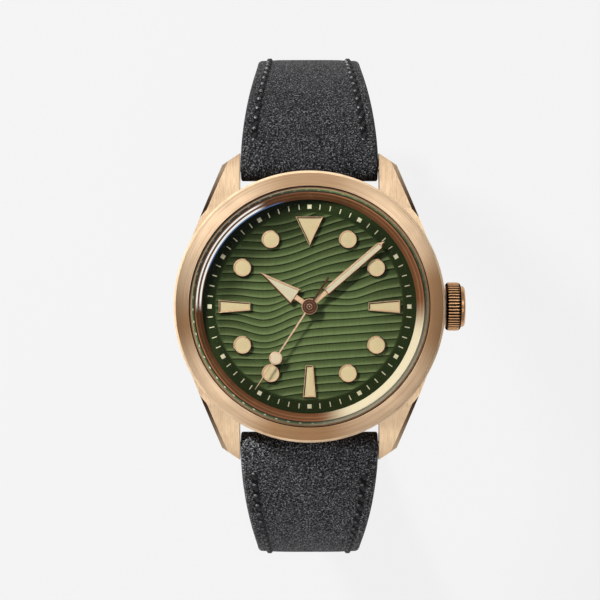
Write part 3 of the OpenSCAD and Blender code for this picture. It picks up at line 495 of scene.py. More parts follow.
class WatchDial(bpy.types.PropertyGroup):
    """Lacquered dial with pressed waves and a minute track."""

    green: colour("Green", "Lacquer at the middle", (112, 130, 80))
    rim: colour("Rim", "Lacquer towards the edge", (36, 46, 22))
    print: colour("Print", "Minute track's marks", (214, 206, 172))
    lume: colour("Lume", "Luminous fill of the markers", (236, 213, 164))
    hand_lume: colour("Hand lume", "Luminous fill of hour and minute hand", (238, 224, 190))
    wave_r: length("Wave radius", "Radius of the pressed field", 13.6)
    wave_pitch: length("Wave pitch", "Distance between two wave lines", 1.15)
    wave_h: length("Wave height", "Height of a wave's step", 0.14)
    wave_dip: length("Wave dip", "Depth of the waves' trough", 1.6)
    frame_w: length("Frame width", "Width of the gilt frames", 0.22)


class WatchStrap(bpy.types.PropertyGroup):
    """Suede strap with a sewn edge and a smooth lining."""

    suede: colour("Suede", "Nap in the light", (43, 43, 44))
    shade: colour("Shade", "Gaps in the nap", (8, 8, 9))
    lining: colour("Lining", "Smooth lining", (52, 47, 44))
    thread: colour("Thread", "Sewing thread", (7, 7, 8))
    stitch: length("Stitch pitch", "Distance between two stitches", 2.25)
    margin: length("Stitch margin", "Seam's distance from the strap's edge", 1.85)
    thread_d: length("Thread width", "Width of the sewing thread", 0.78)


class WatchStage(bpy.types.PropertyGroup):
    """Backdrop, lamps and camera."""

    paper: colour("Backdrop", "Colour of the floor as the camera sees it", (242, 242, 242))
    far: length("Camera height", "Camera's height over the case back", 309.0)
    lens: number("Lens", "Focal length", 126.3, "CAMERA")
    across: length("Camera across", "Camera's shift towards the crown", -1.365)
    along: length("Camera along", "Camera's shift towards 12 o'clock", 0.94)
    key: number("Key lamp", "Power of the lamp at the upper left", 5.6, "POWER")


# Finishes


def brushed(name, base, dark, pitch, across, rough=0.3, bevel=None):
    """Brushed metal: line noise along one axis and cloudy patina.

    The lines come from noise squeezed by the vector `across`, which is large across the lines
    and small along them. A bevel colour, for the mid-case, polishes the faces that lean out by
    about 45 degrees and paints them dark as painted shade, turns the lines level on upright walls,
    darkens the lugs' tips, and paints shade on the rim beside the bezel.
    """
    f = Finish(name)
    place = f.place()

    def strokes(factors, share=1.0):
        squeeze = tuple(share * c / (pitch * MM) for c in factors)
        return f.noise(f.scaled(place, squeeze), 1.0, 2.0, 0.6)

    lines = 0.5 * strokes(across) + 0.5 * strokes(across, 0.3)
    if bevel:
        out, _, up = f.normal()
        wall = up.size().ramp(0.5, 0.3)
        lines = lines + wall * (strokes((0.02, 0.02, 0.6)) - lines)
    cloud = f.noise(place, 260.0, 4.0, 0.6)
    stain = f.noise(place, 90.0, 2.0)
    tone = (0.35 * cloud + 0.65 * stain).ramp(0.42, 0.78)
    shade = f.layers(base, (tone * 0.35, dark), (lines.ramp(0.4, 0.68) * 0.34, dark))
    roughness = rough + 0.16 * lines + 0.12 * tone - 0.05
    if bevel:
        x, y, _ = f.parts(place)
        far_x, far_y = (x / MM).size(), (y / MM).size()
        tip = far_y.ramp(18.5, 25.0)
        # painted shade on the case's top beside the bezel
        side = far_x.ramp(18.8, 19.6) * far_y.ramp(12.0, 9.0) * up.ramp(0.5, 0.8)
        # the dark bevel colour on the polished bevels is painted shade
        slope = out.size().ramp(0.4, 0.55) * up.ramp(0.4, 0.55)
        shade = f.layers(shade, (tip * 0.5, dark), (side * 0.85, dark), (slope, bevel))
        roughness = roughness * (1 - 0.6 * slope)
    normal = f.bump(lines, 0.006 * MM, 0.55)
    return f.skin(Base_Color=shade, Roughness=roughness, Metallic=1.0, Normal=normal)


# Painted highlights on the circular brushing: pale rays, each a direction and half width in degrees,
# and a strength
PAINTED_GLINT_RAYS = ((46, 36, 0.88), (94, 30, 0.3), (144, 44, 1.0), (222, 33, 0.88), (312, 36, 0.72))


def ringed(name, base, dark, pitch, rough=0.3, anisotropy=0.6, glow=0.0):
    """Metal brushed in circles about Z: noise on the radius, the height and the direction.

    With a glow, painted highlights make the metal paler along rays from the axis, where circular
    brushing catches lamps.
    """
    f = Finish(name)
    place = f.place()
    x, y, z, radius = f.round_z(place)
    turn = 0.9 / radius.most(0.0005)
    fine = 1 / (pitch * MM)
    ring = f.vector(radius * fine, x * turn * 3.0, y * turn * 3.0 + z * fine)
    lines = 0.5 * f.noise(ring, 1.0, 2.5, 0.62) + 0.5 * f.noise(ring, 0.32, 2.0, 0.6)
    cloud = f.noise(place, 240.0, 4.0, 0.6).ramp(0.4, 0.75)
    shade = f.layers(base, (cloud * 0.12, dark))
    if glow:
        # painted highlights along the rays
        share = sum(weight * f.lobe(x, y, ray, half) for ray, half, weight in PAINTED_GLINT_RAYS)
        shade = f.layers(shade, (share * glow, rgba(250, 224, 190)))
    shade = f.layers(shade, (lines.ramp(0.4, 0.66) * 0.4, dark))
    return f.skin(
        Base_Color=shade, Roughness=rough + 0.18 * lines + 0.08 * cloud - 0.06, Metallic=1.0,
        Anisotropic=anisotropy, Anisotropic_Rotation=0.25, Normal=f.bump(lines, 0.005 * MM, 0.5),
    )


def flange(name, base, dark):
    """Inner ring: polished copper with turned lines, and painted reflections of the crystal's glints.

    One wide painted glint lies across the lower right; two narrow painted bands lie at the upper
    left, with a painted blue line at the ring's foot. They are also given as glow.
    """
    f = Finish(name)
    x, y, _, radius = f.round_z(f.place())
    radius = radius / MM
    lines = f.noise(f.vector(radius * 12.0, x * 60.0, y * 60.0), 1.0, 2.5, 0.6)
    # painted reflections: a wide glint, two pale bands and a blue line at the foot
    painted_broad_glint = f.lobe(x, y, 319, 50).ramp(0.05, 0.85)
    arc = f.lobe(x, y, 148, 40).ramp(0.1, 0.5)
    band = radius.near(15.68, 0.16, 0.08).most(radius.near(16.15, 0.13, 0.06)) * arc
    foot = radius.near(15.47, 0.1, 0.04) * f.lobe(x, y, 132, 34).ramp(0.1, 0.5) * 0.8
    shade = f.layers(
        base,
        (lines.ramp(0.3, 0.75) * 0.4, dark),
        (radius.near(15.9, 0.14, 0.02) * 0.4, rgba(226, 170, 130)),
        (painted_broad_glint, rgba(246, 230, 198)),
        (band, rgba(250, 248, 244)),
        (foot, rgba(96, 142, 196)),
    )
    # the same painted reflections as glow, so they stay pale in shade
    light = f.layers(
        rgba(52, 32, 20),
        (painted_broad_glint, rgba(104, 94, 72)),
        (band, rgba(226, 224, 220)),
        (foot, rgba(58, 98, 150)),
    )
    return f.skin(
        Base_Color=shade, Roughness=0.28 + 0.2 * lines, Metallic=0.45 - 0.4 * painted_broad_glint.most(band),
        Emission_Color=light, Emission_Strength=1.0,
    )


def polished(name, base, dark, rough=0.12, metal=1.0):
    """Polished metal with faint clouding and fine hairlines."""
    f = Finish(name)
    place = f.place()
    cloud = f.noise(place, 500.0, 3.0)
    hair = f.noise(f.scaled(place, (9000.0, 1200.0, 4000.0)), 1.0, 2.0)
    shade = f.layers(base, (cloud.ramp(0.4, 0.8) * 0.35, dark))
    roughness = rough + 0.1 * cloud.ramp(0.3, 0.8) + 0.06 * hair
    normal = f.bump(hair, 0.002 * MM, 0.4)
    return f.skin(Base_Color=shade, Roughness=roughness, Metallic=metal, Normal=normal)


def fluted(name, base, dark, axis_z, crest, depth):
    """Crown metal: brushed along X, with painted shade, near black, in the flutes.

    The distance from the crown's axis, which lies along X at a height, tells crest from flute.
    """
    f = Finish(name)
    place = f.place()
    _, y, z = f.parts(place)
    off = z / MM - axis_z
    radius = ((y / MM) * (y / MM) + off * off).root()
    # painted shade: near black down in the flutes
    flute_shade = radius.ramp(crest - 0.12 * depth, crest - 0.55 * depth)
    flute_shade = flute_shade * radius.ramp(crest - 0.5, crest - 0.4)
    lines = f.noise(f.scaled(place, (900.0, 16000.0, 16000.0)), 1.0, 2.0, 0.6)
    cloud = f.noise(place, 700.0, 3.0)
    shade = f.layers(
        base,
        (lines.ramp(0.35, 0.75) * 0.3, dark),
        (cloud.ramp(0.45, 0.8) * 0.25, dark),
        (flute_shade, rgba(20, 10, 5)),
    )
    roughness = 0.22 + 0.14 * lines + 0.4 * flute_shade
    normal = f.bump(lines, 0.004 * MM, 0.5)
    return f.skin(Base_Color=shade, Roughness=roughness, Metallic=1.0, Normal=normal)


def luminous(name, base):
    """Luminous fill: grainy cream paste, a little darker in its pits."""
    f = Finish(name)
    place = f.place()
    grain = f.noise(place, 9000.0, 3.0, 0.7)
    cloud = f.noise(place, 900.0, 2.0)
    shade = f.layers(
        base,
        (grain.ramp(0.35, 0.75) * 0.22, times(base, 0.62)),
        (cloud.ramp(0.45, 0.8) * 0.2, times(base, 0.8)),
    )
    normal = f.bump(grain, 0.02 * MM, 0.5)
    return f.skin(Base_Color=shade, Roughness=0.62 + 0.2 * grain, Normal=normal)


def rubber(name, base):
    """Moulded rubber with a fine matt skin."""
    f = Finish(name)
    grain = f.noise(f.place(), 6000.0, 3.0)
    shade = f.layers(base, (grain.ramp(0.4, 0.8), times(base, 1.7)))
    normal = f.bump(grain, 0.01 * MM, 0.5)
    return f.skin(Base_Color=shade, Roughness=0.55 + 0.25 * grain, Normal=normal)


def jewel_red(name):
    """Synthetic ruby: deep red with a polished face and faint inner clouds."""
    f = Finish(name)
    cloud = f.noise(f.place(), 2500.0, 2.0)
    shade = f.layers(rgba(120, 8, 32), (cloud, rgba(196, 30, 66)))
    return f.skin(Base_Color=shade, Roughness=0.08 + 0.1 * cloud, Coat_Weight=0.6)


def lacquer(name, dial):
    """Dial lacquer: green, darker towards the rim, with painted shade towards 12 and by each step.

    The flat map's second value runs from 0 at a wave's crest to 1 mm at the next step, so that
    a painted shadow can fall below each step and a painted highlight over each crest. The rim's
    shadow on the upper left is painted too.
    """
    f = Finish(name)
    place = f.place()
    x, y, _, radius = f.round_z(place)
    radius = radius / MM
    across = f.parts(f.flat())[1] / MM
    track = radius.ramp(13.2, 13.75)
    field = 1 - track
    grain = f.noise(f.scaled(place, (5200.0, 700.0, 700.0)), 1.0, 3.0, 0.65)
    cloud = f.noise(place, 160.0, 2.0)
    edge, painted_dark = tint(dial.rim), rgba(14, 19, 7)
    shade = f.layers(
        tint(dial.green),
        # darker towards the rim; the part towards 12 is painted shade
        (radius.ramp(6.0, 13.8) * 0.5 + (y / MM).ramp(-5.0, 13.0) * 0.3, edge),
        # painted highlight over each crest
        (across.ramp(0.45, 0.05) * field * 0.45, rgba(150, 166, 112)),
        # painted shade across each terrace, and a painted shadow below each step
        (across.ramp(0.15, 0.95) * field * 0.6, edge),
        (across.ramp(0.78, 0.97) * field * 0.85, painted_dark),
        (grain.ramp(0.35, 0.75) * 0.2 * field, edge),
        (cloud.ramp(0.4, 0.8) * 0.12, edge),
        (track, edge),
        # painted shadow of the rim on the upper left
        (f.lobe(x, y, 138, 66) * radius.ramp(8.5, 13.6) * 0.8, painted_dark),
    )
    return f.skin(
        Base_Color=shade, Roughness=0.46 + 0.14 * grain, Specular_IOR_Level=0.05,
        Normal=f.bump(grain, 0.006 * MM, 0.3),
    )


def printed(name, base):
    """Pad-printed ink with a slightly uneven edge of colour."""
    f = Finish(name)
    grain = f.noise(f.place(), 7000.0, 2.0)
    shade = f.layers(base, (grain.ramp(0.45, 0.8) * 0.6, times(base, 0.7)))
    return f.skin(Base_Color=shade, Roughness=0.5 + 0.2 * grain)


def suede(name, light, dark, turn=1.0, margin=None):
    """Suede: a short nap, dark between its tufts, with pale flecks and brushed marks.

    A turn over 1 paints the nap paler, as painted light. A margin in mm paints shade into the
    groove of a seam that far from the strap's edges; the flat map gives length and width.
    """
    f = Finish(name)
    place = f.place()
    tuft = f.noise(place, 3500.0, 1.4, 0.5)
    fleck = f.noise(place, 4400.0, 1.2, 0.5)
    lump = f.noise(place, 1300.0, 3.0, 0.6)
    patch = f.noise(place, 180.0, 3.0, 0.55)
    rub = f.noise(f.scaled(place, (420.0, 160.0, 160.0)), 1.0, 2.0).ramp(0.5, 0.75)
    # painted light: a turn over 1 makes the same suede paler
    light = times(light, turn)
    shade = f.layers(
        dark,
        ((0.82 * tuft + 0.1 * lump + 0.08 * patch).ramp(0.45, 0.57), light),
        (fleck.ramp(0.56, 0.68) * (0.7 + 0.3 * rub), times(light, 6.6)),
    )
    if margin:
        along, across, _ = f.parts(f.flat())
        along, across = along / MM, across.size() / MM
        half = (STRAP_W - (STRAP_W - STRAP_END_W) * along.ramp(0.0, WIDTH_TAPER)) / 2
        groove = (half - margin).near(across, 0.62, 0.32) * along.ramp(3.4, 4.4)
        # painted shade, near black, in the seams' grooves
        shade = f.layers(shade, (groove * 0.95, rgba(2, 2, 2)))
    return f.skin(
        Base_Color=shade, Roughness=0.88 + 0.1 * tuft, Specular_IOR_Level=0.15, Sheen_Weight=0.05,
        Sheen_Roughness=0.5, Normal=f.bump(tuft, 0.16 * MM, 0.9, f.bump(lump, 0.2 * MM, 0.6)),
    )


def smooth_hide(name, base):
    """Smooth lining leather: pores, fine creases and a soft gloss."""
    f = Finish(name)
    place = f.place()
    pores = f.cells(place, 2600.0)
    crease = f.noise(f.scaled(place, (500.0, 1500.0, 1500.0)), 1.0, 3.0)
    shade = f.layers(base, (crease.ramp(0.4, 0.75) * 0.6, times(base, 1.5)))
    normal = f.bump(pores.ramp(0.05, 0.3), 0.04 * MM, 0.5, f.bump(crease, 0.06 * MM, 0.4))
    return f.skin(Base_Color=shade, Roughness=0.5 + 0.2 * crease, Normal=normal)


def twisted(name, base):
    """Sewing thread: slanted plies along its flat map, a waxed gloss, and a painted pale glint at one
    end.
    """
    f = Finish(name)
    u, v, _ = f.parts(f.flat())
    ply = (u * (TURN / (0.34 * MM)) + v * (TURN / (0.5 * MM))).sin() * 0.5 + 0.5
    fuzz = f.noise(f.place(), 8000.0, 2.0)
    # painted highlight: a pale glint at one end of each stitch, broken up by noise
    end = (u / MM).ramp(-0.45, -0.66) * fuzz.ramp(0.35, 0.6)
    shade = f.layers(
        base, (0.7 * ply + 0.3 * fuzz, times(base, 2.0)), (end * 0.8, rgba(160, 160, 162))
    )
    normal = f.bump(ply, 0.06 * MM, 0.7)
    return f.skin(Base_Color=shade, Roughness=0.55 + 0.2 * fuzz, Normal=normal)


def clear_face(name):
    """The crystal's faces: light goes straight through, with a faint coated gloss."""
    f = Finish(name)
    smear = f.noise(f.place(), 120.0, 2.0)
    gloss = f.add("ShaderNodeBsdfGlossy", inputs={"Color": (0.8, 0.88, 1, 1), "Roughness": 0.03})
    clear = f.add("ShaderNodeBsdfTransparent", inputs={"Color": (0.985, 0.99, 0.985, 1)})
    glance = f.add("ShaderNodeFresnel", inputs={"IOR": 1.45})
    return f.blend((glance - 0.034).most(0.0) * 0.5 + smear * 0.0006, clear, gloss)


def clear_edge(name):
    """The crystal's ground edge: flecked glass, painted olive as a reflection of the dial.

    It has painted light: a pale glow at the lower right, shade at the upper left, the minute track
    as a row of pale marks, and a pale outer line and a dark inner line.
    """
    f = Finish(name)
    place = f.place()
    x, y, _, radius = f.round_z(place)
    radius = radius / MM
    fleck = f.noise(place, 2600.0, 3.0, 0.7)
    painted_track_image = (y.angle_to(x) * 60.0).sin().ramp(0.72, 0.95) * radius.near(16.6, 0.09, 0.03)
    # painted glow where light would gather at the lower right
    pale = f.lobe(x, y, 318, 54)
    shade = f.layers(
        rgba(66, 88, 44),
        (pale + fleck.ramp(0.6, 0.72) * 0.3, rgba(190, 186, 158)),
        # painted shade at the upper left
        (f.lobe(x, y, 135, 64), rgba(20, 20, 15)),
        (painted_track_image * (0.12 + 0.8 * f.lobe(x, y, 228, 60)), rgba(232, 230, 208)),
        # painted pale line outside and painted dark line inside
        (radius.ramp(16.68, 16.78) * (0.22 + 0.5 * pale), rgba(226, 206, 166)),
        (radius.ramp(16.54, 16.48) * (1 - 0.6 * pale), rgba(26, 23, 13)),
    )
    glass = f.surface(Base_Color=shade, Roughness=0.2 + 0.2 * fleck, Specular_IOR_Level=0.3)
    clear = f.add("ShaderNodeBsdfTransparent", inputs={"Color": (0.95, 0.97, 0.96, 1)})
    return f.blend(f.ray("Shadow").most(f.ray("Diffuse")).most(0.1), glass, clear)


# Case, bezel, crystal and crown


def solid_look(finish, *nodes, round_mm=0.0):
    """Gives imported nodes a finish: welds them, smooths their curves and keeps their edges crisp."""
    for node in nodes:
        obj = frame["nodes"][node]
        faces = obj.data.polygons
        obj.data.materials.clear()
        obj.data.materials.append(finish)
        faces.foreach_set("material_index", np.zeros(len(faces), np.int32))
        obj.modifiers.new("join", "WELD").merge_threshold = COARSE_WELD * MM
        if round_mm:
            bevel = obj.modifiers.new("edge rounds", "BEVEL")
            bevel.width, bevel.segments = round_mm * MM, 2
            bevel.limit_method, bevel.angle_limit = "ANGLE", np.radians(ROUND_FROM)
            bevel.use_clamp_overlap = True
        obj.modifiers.new("smooth curves", "NODES").node_group = smoother()
        obj.modifiers.new("crisp edges", "EDGE_SPLIT").split_angle = np.radians(CRISP_SOLID)


def smoother():
    """Node group that shades every face smooth."""
    name = "smooth curves"
    if name in bpy.data.node_groups:
        return bpy.data.node_groups[name]
    tree = bpy.data.node_groups.new(name, "GeometryNodeTree")
    for way in ("INPUT", "OUTPUT"):
        tree.interface.new_socket("Geometry", in_out=way, socket_type="NodeSocketGeometry")
    start, end = tree.nodes.new("NodeGroupInput"), tree.nodes.new("NodeGroupOutput")
    shade = tree.nodes.new("GeometryNodeSetShadeSmooth")
    tree.links.new(start.outputs[0], shade.inputs[0])
    tree.links.new(shade.outputs[0], end.inputs[0])
    return tree


class WATCH_OT_case(bpy.types.Operator):
    """Finishes the mid-case, the case back and the seals"""

    bl_idname = "watch.case"
    bl_label = "Case"

    def execute(self, context):
        metal = context.scene.watch_metal
        looks = (tint(metal.bronze), tint(metal.patina), metal.brush / MM)
        # dark colour of the polished bevels: painted shade
        bevel = rgba(60, 38, 24)
        solid_look(brushed("case bronze", *looks, (1.0, 0.02, 0.1), 0.34, bevel), "mid_case")
        solid_look(ringed("back bronze", *looks, 0.32, 0.4), "case_back")
        solid_look(rubber("seal rubber", rgba(28, 28, 29)), "back_gasket", "crown_gasket")
        solid_look(rubber("crystal seal", rgba(120, 88, 62)), "crystal_gasket")
        return {"FINISHED"}


class WATCH_OT_bezel(bpy.types.Operator):
    """Builds the bezel and the sloped inner ring"""

    bl_idname = "watch.bezel"
    bl_label = "Bezel"

    def execute(self, context):
        metal = context.scene.watch_metal
        bronze, dark, lines = tint(metal.bezel), tint(metal.patina), metal.brush / MM
        # 0.68 is how strongly the bezel's highlights are painted
        satin = ringed("bezel bronze", bronze, dark, lines, 0.36, 0.5, 0.68)
        bright = polished("bezel edge", rgba(236, 204, 166), dark, 0.3, 0.4)
        # the lip's dark bronze is painted shade in the gap at the crystal
        painted_dark = polished("bezel lip", rgba(58, 32, 18), rgba(26, 14, 8), 0.25)
        bezel_shell(metal.round / MM).build(
            "bezel_ring", "case", "bezel_bronze", [satin, bright, painted_dark], ["bezel"]
        )
        copper = flange("inner ring copper", tint(metal.copper), rgba(92, 54, 34))
        rehaut_shell().build("inner_ring", "case", "rehaut_bronze", [copper], ["rehaut_ring"])
        return {"FINISHED"}


def bezel_shell(round_r):
    """Bezel: its section turned round Z, with each corner rounded by a quadratic curve.

    Steep faces near the top take the bright edge's slot, and those at the crystal the lip's, whose
    dark colour is painted shade.
    """
    seat_r, inner, outer = CRYSTAL_R - 0.2, CRYSTAL_R + 0.28, BEZEL_R + BEZEL_OVERLAP
    fall, chamfer, lip_w = 0.45, 0.3, 0.12
    ledge = CRYSTAL_Z
    corner = BEZEL_TOP - fall
    section = [
        (seat_r, BEZEL_Z), (outer, BEZEL_Z), (outer, corner - chamfer), (outer - chamfer, corner),
        (inner + lip_w, BEZEL_TOP), (inner, BEZEL_TOP - lip_w), (inner, ledge), (seat_r, ledge),
    ]
    rounds = [0.05, 0.05, round_r, round_r, round_r, 0.04, 0.04, 0.05]
    loop = closed_rounds(section, rounds, 4)
    shell = Shell().grid(*turned(loop, RING_STEPS), close_rows=True)
    run, slope = np.abs(np.roll(loop, -1, 0) - loop).T
    bright = (slope > 0.55 * run) & (loop[:, 1] > corner - chamfer - 0.3)
    lip = bright & (loop[:, 0] < inner + 0.16)
    shell.slots[-1] = np.repeat(bright.astype(int) + lip, RING_STEPS)
    return shell


def rehaut_shell():
    """Sloped inner ring: a four-sided section turned round Z, its inner face bowed by a sine."""
    low, high = DIAL_TOP, top_of("rehaut_ring")
    out_r = reach_of("rehaut_ring")
    foot, lip = out_r - 1.15, out_r - 0.3
    t = np.linspace(0, 1, 9)
    bow_r = lip + (foot - lip) * t + 0.03 * np.sin(np.pi * t)
    bow = np.stack([bow_r, high + (low + 0.02 - high) * t], -1)
    loop = np.concatenate([[(out_r, low), (out_r, high), (lip + 0.06, high)], bow, [(foot, low)]])
    return Shell().grid(*turned(loop, RING_STEPS), close_rows=True)


class WATCH_OT_crystal(bpy.types.Operator):
    """Builds the domed crystal with its bevelled edge"""

    bl_idname = "watch.crystal"
    bl_label = "Crystal"

    def execute(self, context):
        glass = [clear_face("crystal face"), clear_edge("crystal edge")]
        crystal_shell().build("crystal_dome", "case", "crystal", glass, ["crystal"])
        return {"FINISHED"}


def crystal_shell():
    """Crystal: a flat underside, a straight side, a 45 degree bevel and a spherical dome."""
    bevel, dome = 0.55, 0.45
    edge = CRYSTAL_TOP - dome
    flat_r = CRYSTAL_R - bevel
    bend = (flat_r**2 + dome**2) / (2 * dome)
    r = flat_r * np.sin(np.linspace(np.pi / 2, 0, 40))
    cap = np.stack([r, edge - bend + dome + np.sqrt(bend**2 - r**2)], -1)
    under = np.stack([np.linspace(0, CRYSTAL_R - 0.05, 12), np.full(12, CRYSTAL_Z)], -1)
    corners = [(CRYSTAL_R, CRYSTAL_Z), (CRYSTAL_R, edge - bevel), (flat_r, edge)]
    side = filleted([under[-1], *corners, cap[1]], [0.03, 0.04, 0.05], 4)
    loop = np.concatenate([under[:-1], side[:-1], cap[1:]])
    shell = Shell().grid(*turned(loop, CRYSTAL_STEPS))
    ring = np.arange(len(loop) - 1)
    edge_row = (ring >= len(under) - 1) & (ring < len(under) + len(side) - 4)
    shell.slots[-1] = np.repeat(edge_row.astype(int), CRYSTAL_STEPS)
    return shell


class WATCH_OT_crown(bpy.types.Operator):
    """Builds the fluted crown and finishes its tube and stem"""

    bl_idname = "watch.crown"
    bl_label = "Crown"

    def execute(self, context):
        metal = context.scene.watch_metal
        bronze, dark = rgba(214, 166, 120), tint(metal.patina)
        low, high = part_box("crown")
        crest = (high.y - low.y) / 2 / MM
        satin = fluted("crown bronze", bronze, dark, STEM_Z, crest, FLUTE_DEPTH)
        crown_shell(low.x / MM, high.x / MM, crest).build(
            "crown_grip", "crown", "crown_bronze", [satin], ["crown"]
        )
        steel = polished("turned steel", tint(metal.steel), rgba(120, 121, 124), 0.22)
        solid_look(steel, "crown_tube", "stem", "setting_lever")
        return {"FINISHED"}


def crown_shell(x0, x1, r):
    """Crown: a turned profile about X whose radius dips by a rounded wave at each flute."""
    socket_r, socket_end = 1.6, x1 - 0.75
    grip_end, cap_r, bevel = x0 + 2.15, r - 0.55, 0.3
    line = [
        (socket_end, 0.0), (socket_end, socket_r), (x0, socket_r), (x0, r - bevel),
        (x0 + bevel, r), (grip_end - bevel, r), (grip_end, r - bevel), (grip_end, cap_r + 0.05),
        (x1 - 0.2, cap_r), (x1, cap_r - 0.25), (x1, 0.0),
    ]
    rounds = [0.05, 0.1, 0.12, 0.2, 0.2, 0.1, 0.05, 0.1, 0.12]
    prof = filleted(line, rounds, 5)
    a = np.linspace(0, TURN, 10 * FLUTES, endpoint=False)
    wave = 0.5 - 0.5 * np.cos(a * FLUTES)
    groove = FLUTE_DEPTH * smooth((wave - 0.25) / 0.55)
    along, rad = prof[:, 0][:, None], prof[:, 1][:, None]
    share = smooth((rad - cap_r - 0.15) / 0.25) * (along <= grip_end + 0.01)
    rr = rad - groove[None, :] * share
    p = np.stack([along + 0 * a, rr * np.cos(a), rr * np.sin(a) + STEM_Z], -1)
    uv = np.stack(np.broadcast_arrays(run_length(prof)[:, None], (a * r)[None, :]), -1)
    return Shell().grid(p, uv)


# Dial, markers and hands


def bell(x, middle, width):
    """Bell curve: exp of minus ((x - middle) / width) squared."""
    return np.exp(-(((x - middle) / width) ** 2))


def wave_line(x, base, dip):
    """Height on the dial of a wave line: it leans up to the right and dips at both sides.

    y = base + lean x - left dip - right dip. Each dip is a bell curve along x; the lean, the
    depths and the left dip's place and width change slowly with the line's base.
    """
    lean = 0.07 + 0.1 * smooth((base + 2) / 8)
    top = smooth((base - 1) / 6)
    depth = dip * (0.25 + 0.75 * smooth((base + 7.5) / 5))
    left = depth * bell(x, -6.2 + 2 * top, 3.6 + 2.6 * top)
    right = 1.1 * bell(base, 2.6, 3.0) * bell(x, 6.0, 3.4)
    return base + lean * x - left - right


def wave_ends(base, rim, dip):
    """Where each line enters and leaves the field, by halving the way out from its middle."""
    x = np.linspace(-rim, rim, 161)
    inmost = x[np.argmin(x**2 + wave_line(x, base[..., None], dip) ** 2, axis=-1)]
    ends = []
    for side in (-1, 1):
        near, far = inmost.copy(), np.full_like(base, side * rim)
        for _ in range(40):
            mid = (near + far) / 2
            inside = mid**2 + wave_line(mid, base, dip) ** 2 < rim**2
            near, far = np.where(inside, mid, near), np.where(inside, far, mid)
        ends.append(near)
    return ends


def dial_shell(rim, pitch, height, dip):
    """Dial: wave terraces, each high at its lower line and sloping down to the next one.

    A terrace is a grid with one value along its line and one across it; what would pass the rim
    is drawn in to it. The plate, the track and the edge are one turned profile.
    """
    shell = Shell()
    first, count, cols, hole, edge = -14.65, 30, 240, 0.95, 0.03
    fade_w, lift = 0.22, 0.004
    across = np.array([0.0, 0.0, 0.03, 0.08, 0.18, 0.32, 0.5, 0.68, 0.84, 0.95, 1.0])
    rise = np.array([0.0, 0.9, 1.0, 0.99, 0.93, 0.81, 0.62, 0.42, 0.22, 0.08, 0.0])
    u = np.linspace(0, 1, cols)
    base = first + pitch * (np.arange(count - 1)[:, None] + across[None, :])
    left, right = wave_ends(base, rim, dip)
    x = left[..., None] + (right - left)[..., None] * u
    y = wave_line(x, base[..., None], dip)
    inward = np.minimum(1, rim / np.hypot(x, y))
    x, y = x * inward, y * inward
    fade = smooth((rim - np.hypot(x, y)) / fade_w)
    z = DIAL_TOP + lift + height * rise[None, :, None] * fade
    p = np.stack([x, y, z], -1)
    uv = np.stack(np.broadcast_arrays(x, across[None, :, None]), -1)
    for strip, flat in zip(p, uv):
        shell.grid(strip, flat, close_cols=False, flip=True)
    centre_hole(shell, hole)
    plate = low_of("dial")
    loop = [
        (hole, DIAL_TOP + height), (hole, plate), (DIAL_R - edge, plate), (DIAL_R, plate + edge),
        (DIAL_R, DIAL_TOP - edge), (DIAL_R - edge, DIAL_TOP), (rim - 0.02, DIAL_TOP),
        (hole + 0.01, DIAL_TOP),
    ]
    return shell.grid(*turned(loop, DIAL_STEPS))


def centre_hole(shell, r):
    """Opens a round hole at Z: points inside it move out to its rim, and cells inside it go."""
    for k, (p, cells) in enumerate(zip(shell.points, shell.cells)):
        d = np.hypot(p[:, 0], p[:, 1])
        inside = d < r
        if inside.any():
            shell.keep(k, ~inside[cells - cells.min()].all(1))
            p[inside, :2] *= (r / np.maximum(d[inside], 1e-6))[:, None]


class WATCH_OT_dial(bpy.types.Operator):
    """Builds the pressed dial and its printed minute track"""

    bl_idname = "watch.dial"
    bl_label = "Dial"

    def execute(self, context):
        dial = context.scene.watch_dial
        waves = (dial.wave_r, dial.wave_pitch, dial.wave_h, dial.wave_dip)
        paint = lacquer("dial lacquer", dial)
        dial_shell(*(v / MM for v in waves)).build(
            "dial_face", "case", "dial_paint", [paint], ["dial"]
        )
        ink = printed("track ink", tint(dial.print))
        track_shell().build("minute_track", "case", "lume", [ink])
        return {"FINISHED"}


def track_shell():
    """Minute track: 48 thin bars and 12 squares, each a low prism turned to its minute."""
    shell = Shell()
    top = DIAL_TOP + 0.012
    for minute in range(60):
        hour = minute % 5 == 0
        half, near, far = (0.3, 14.06, 14.66) if hour else (0.065, 14.0, 14.72)
        outline = np.array([(-half, near), (half, near), (half, far), (-half, far)])
        rows = stacked([outline, outline, inset(outline, 0.02), inset(outline, half * 0.99)],
                       [DIAL_TOP - 0.01, top - 0.004, top, top])
        shell.grid(about_z(rows, 6 * minute))
    return shell


def framed(outer, inner, low, high, bevel, crest=(0.66, 0.84)):
    """Frame between two outlines of one point count: an outer slope, a crest and an inner slope.

    The flat crest is given by where it starts and ends, as shares of the frame's width.
    """
    sink, rise = (outer + (inner - outer) * share for share in crest)
    return stacked([inner, outer, outer, sink, rise, inner],
                   [low, low, high - bevel, high, high, high - 0.4 * bevel])


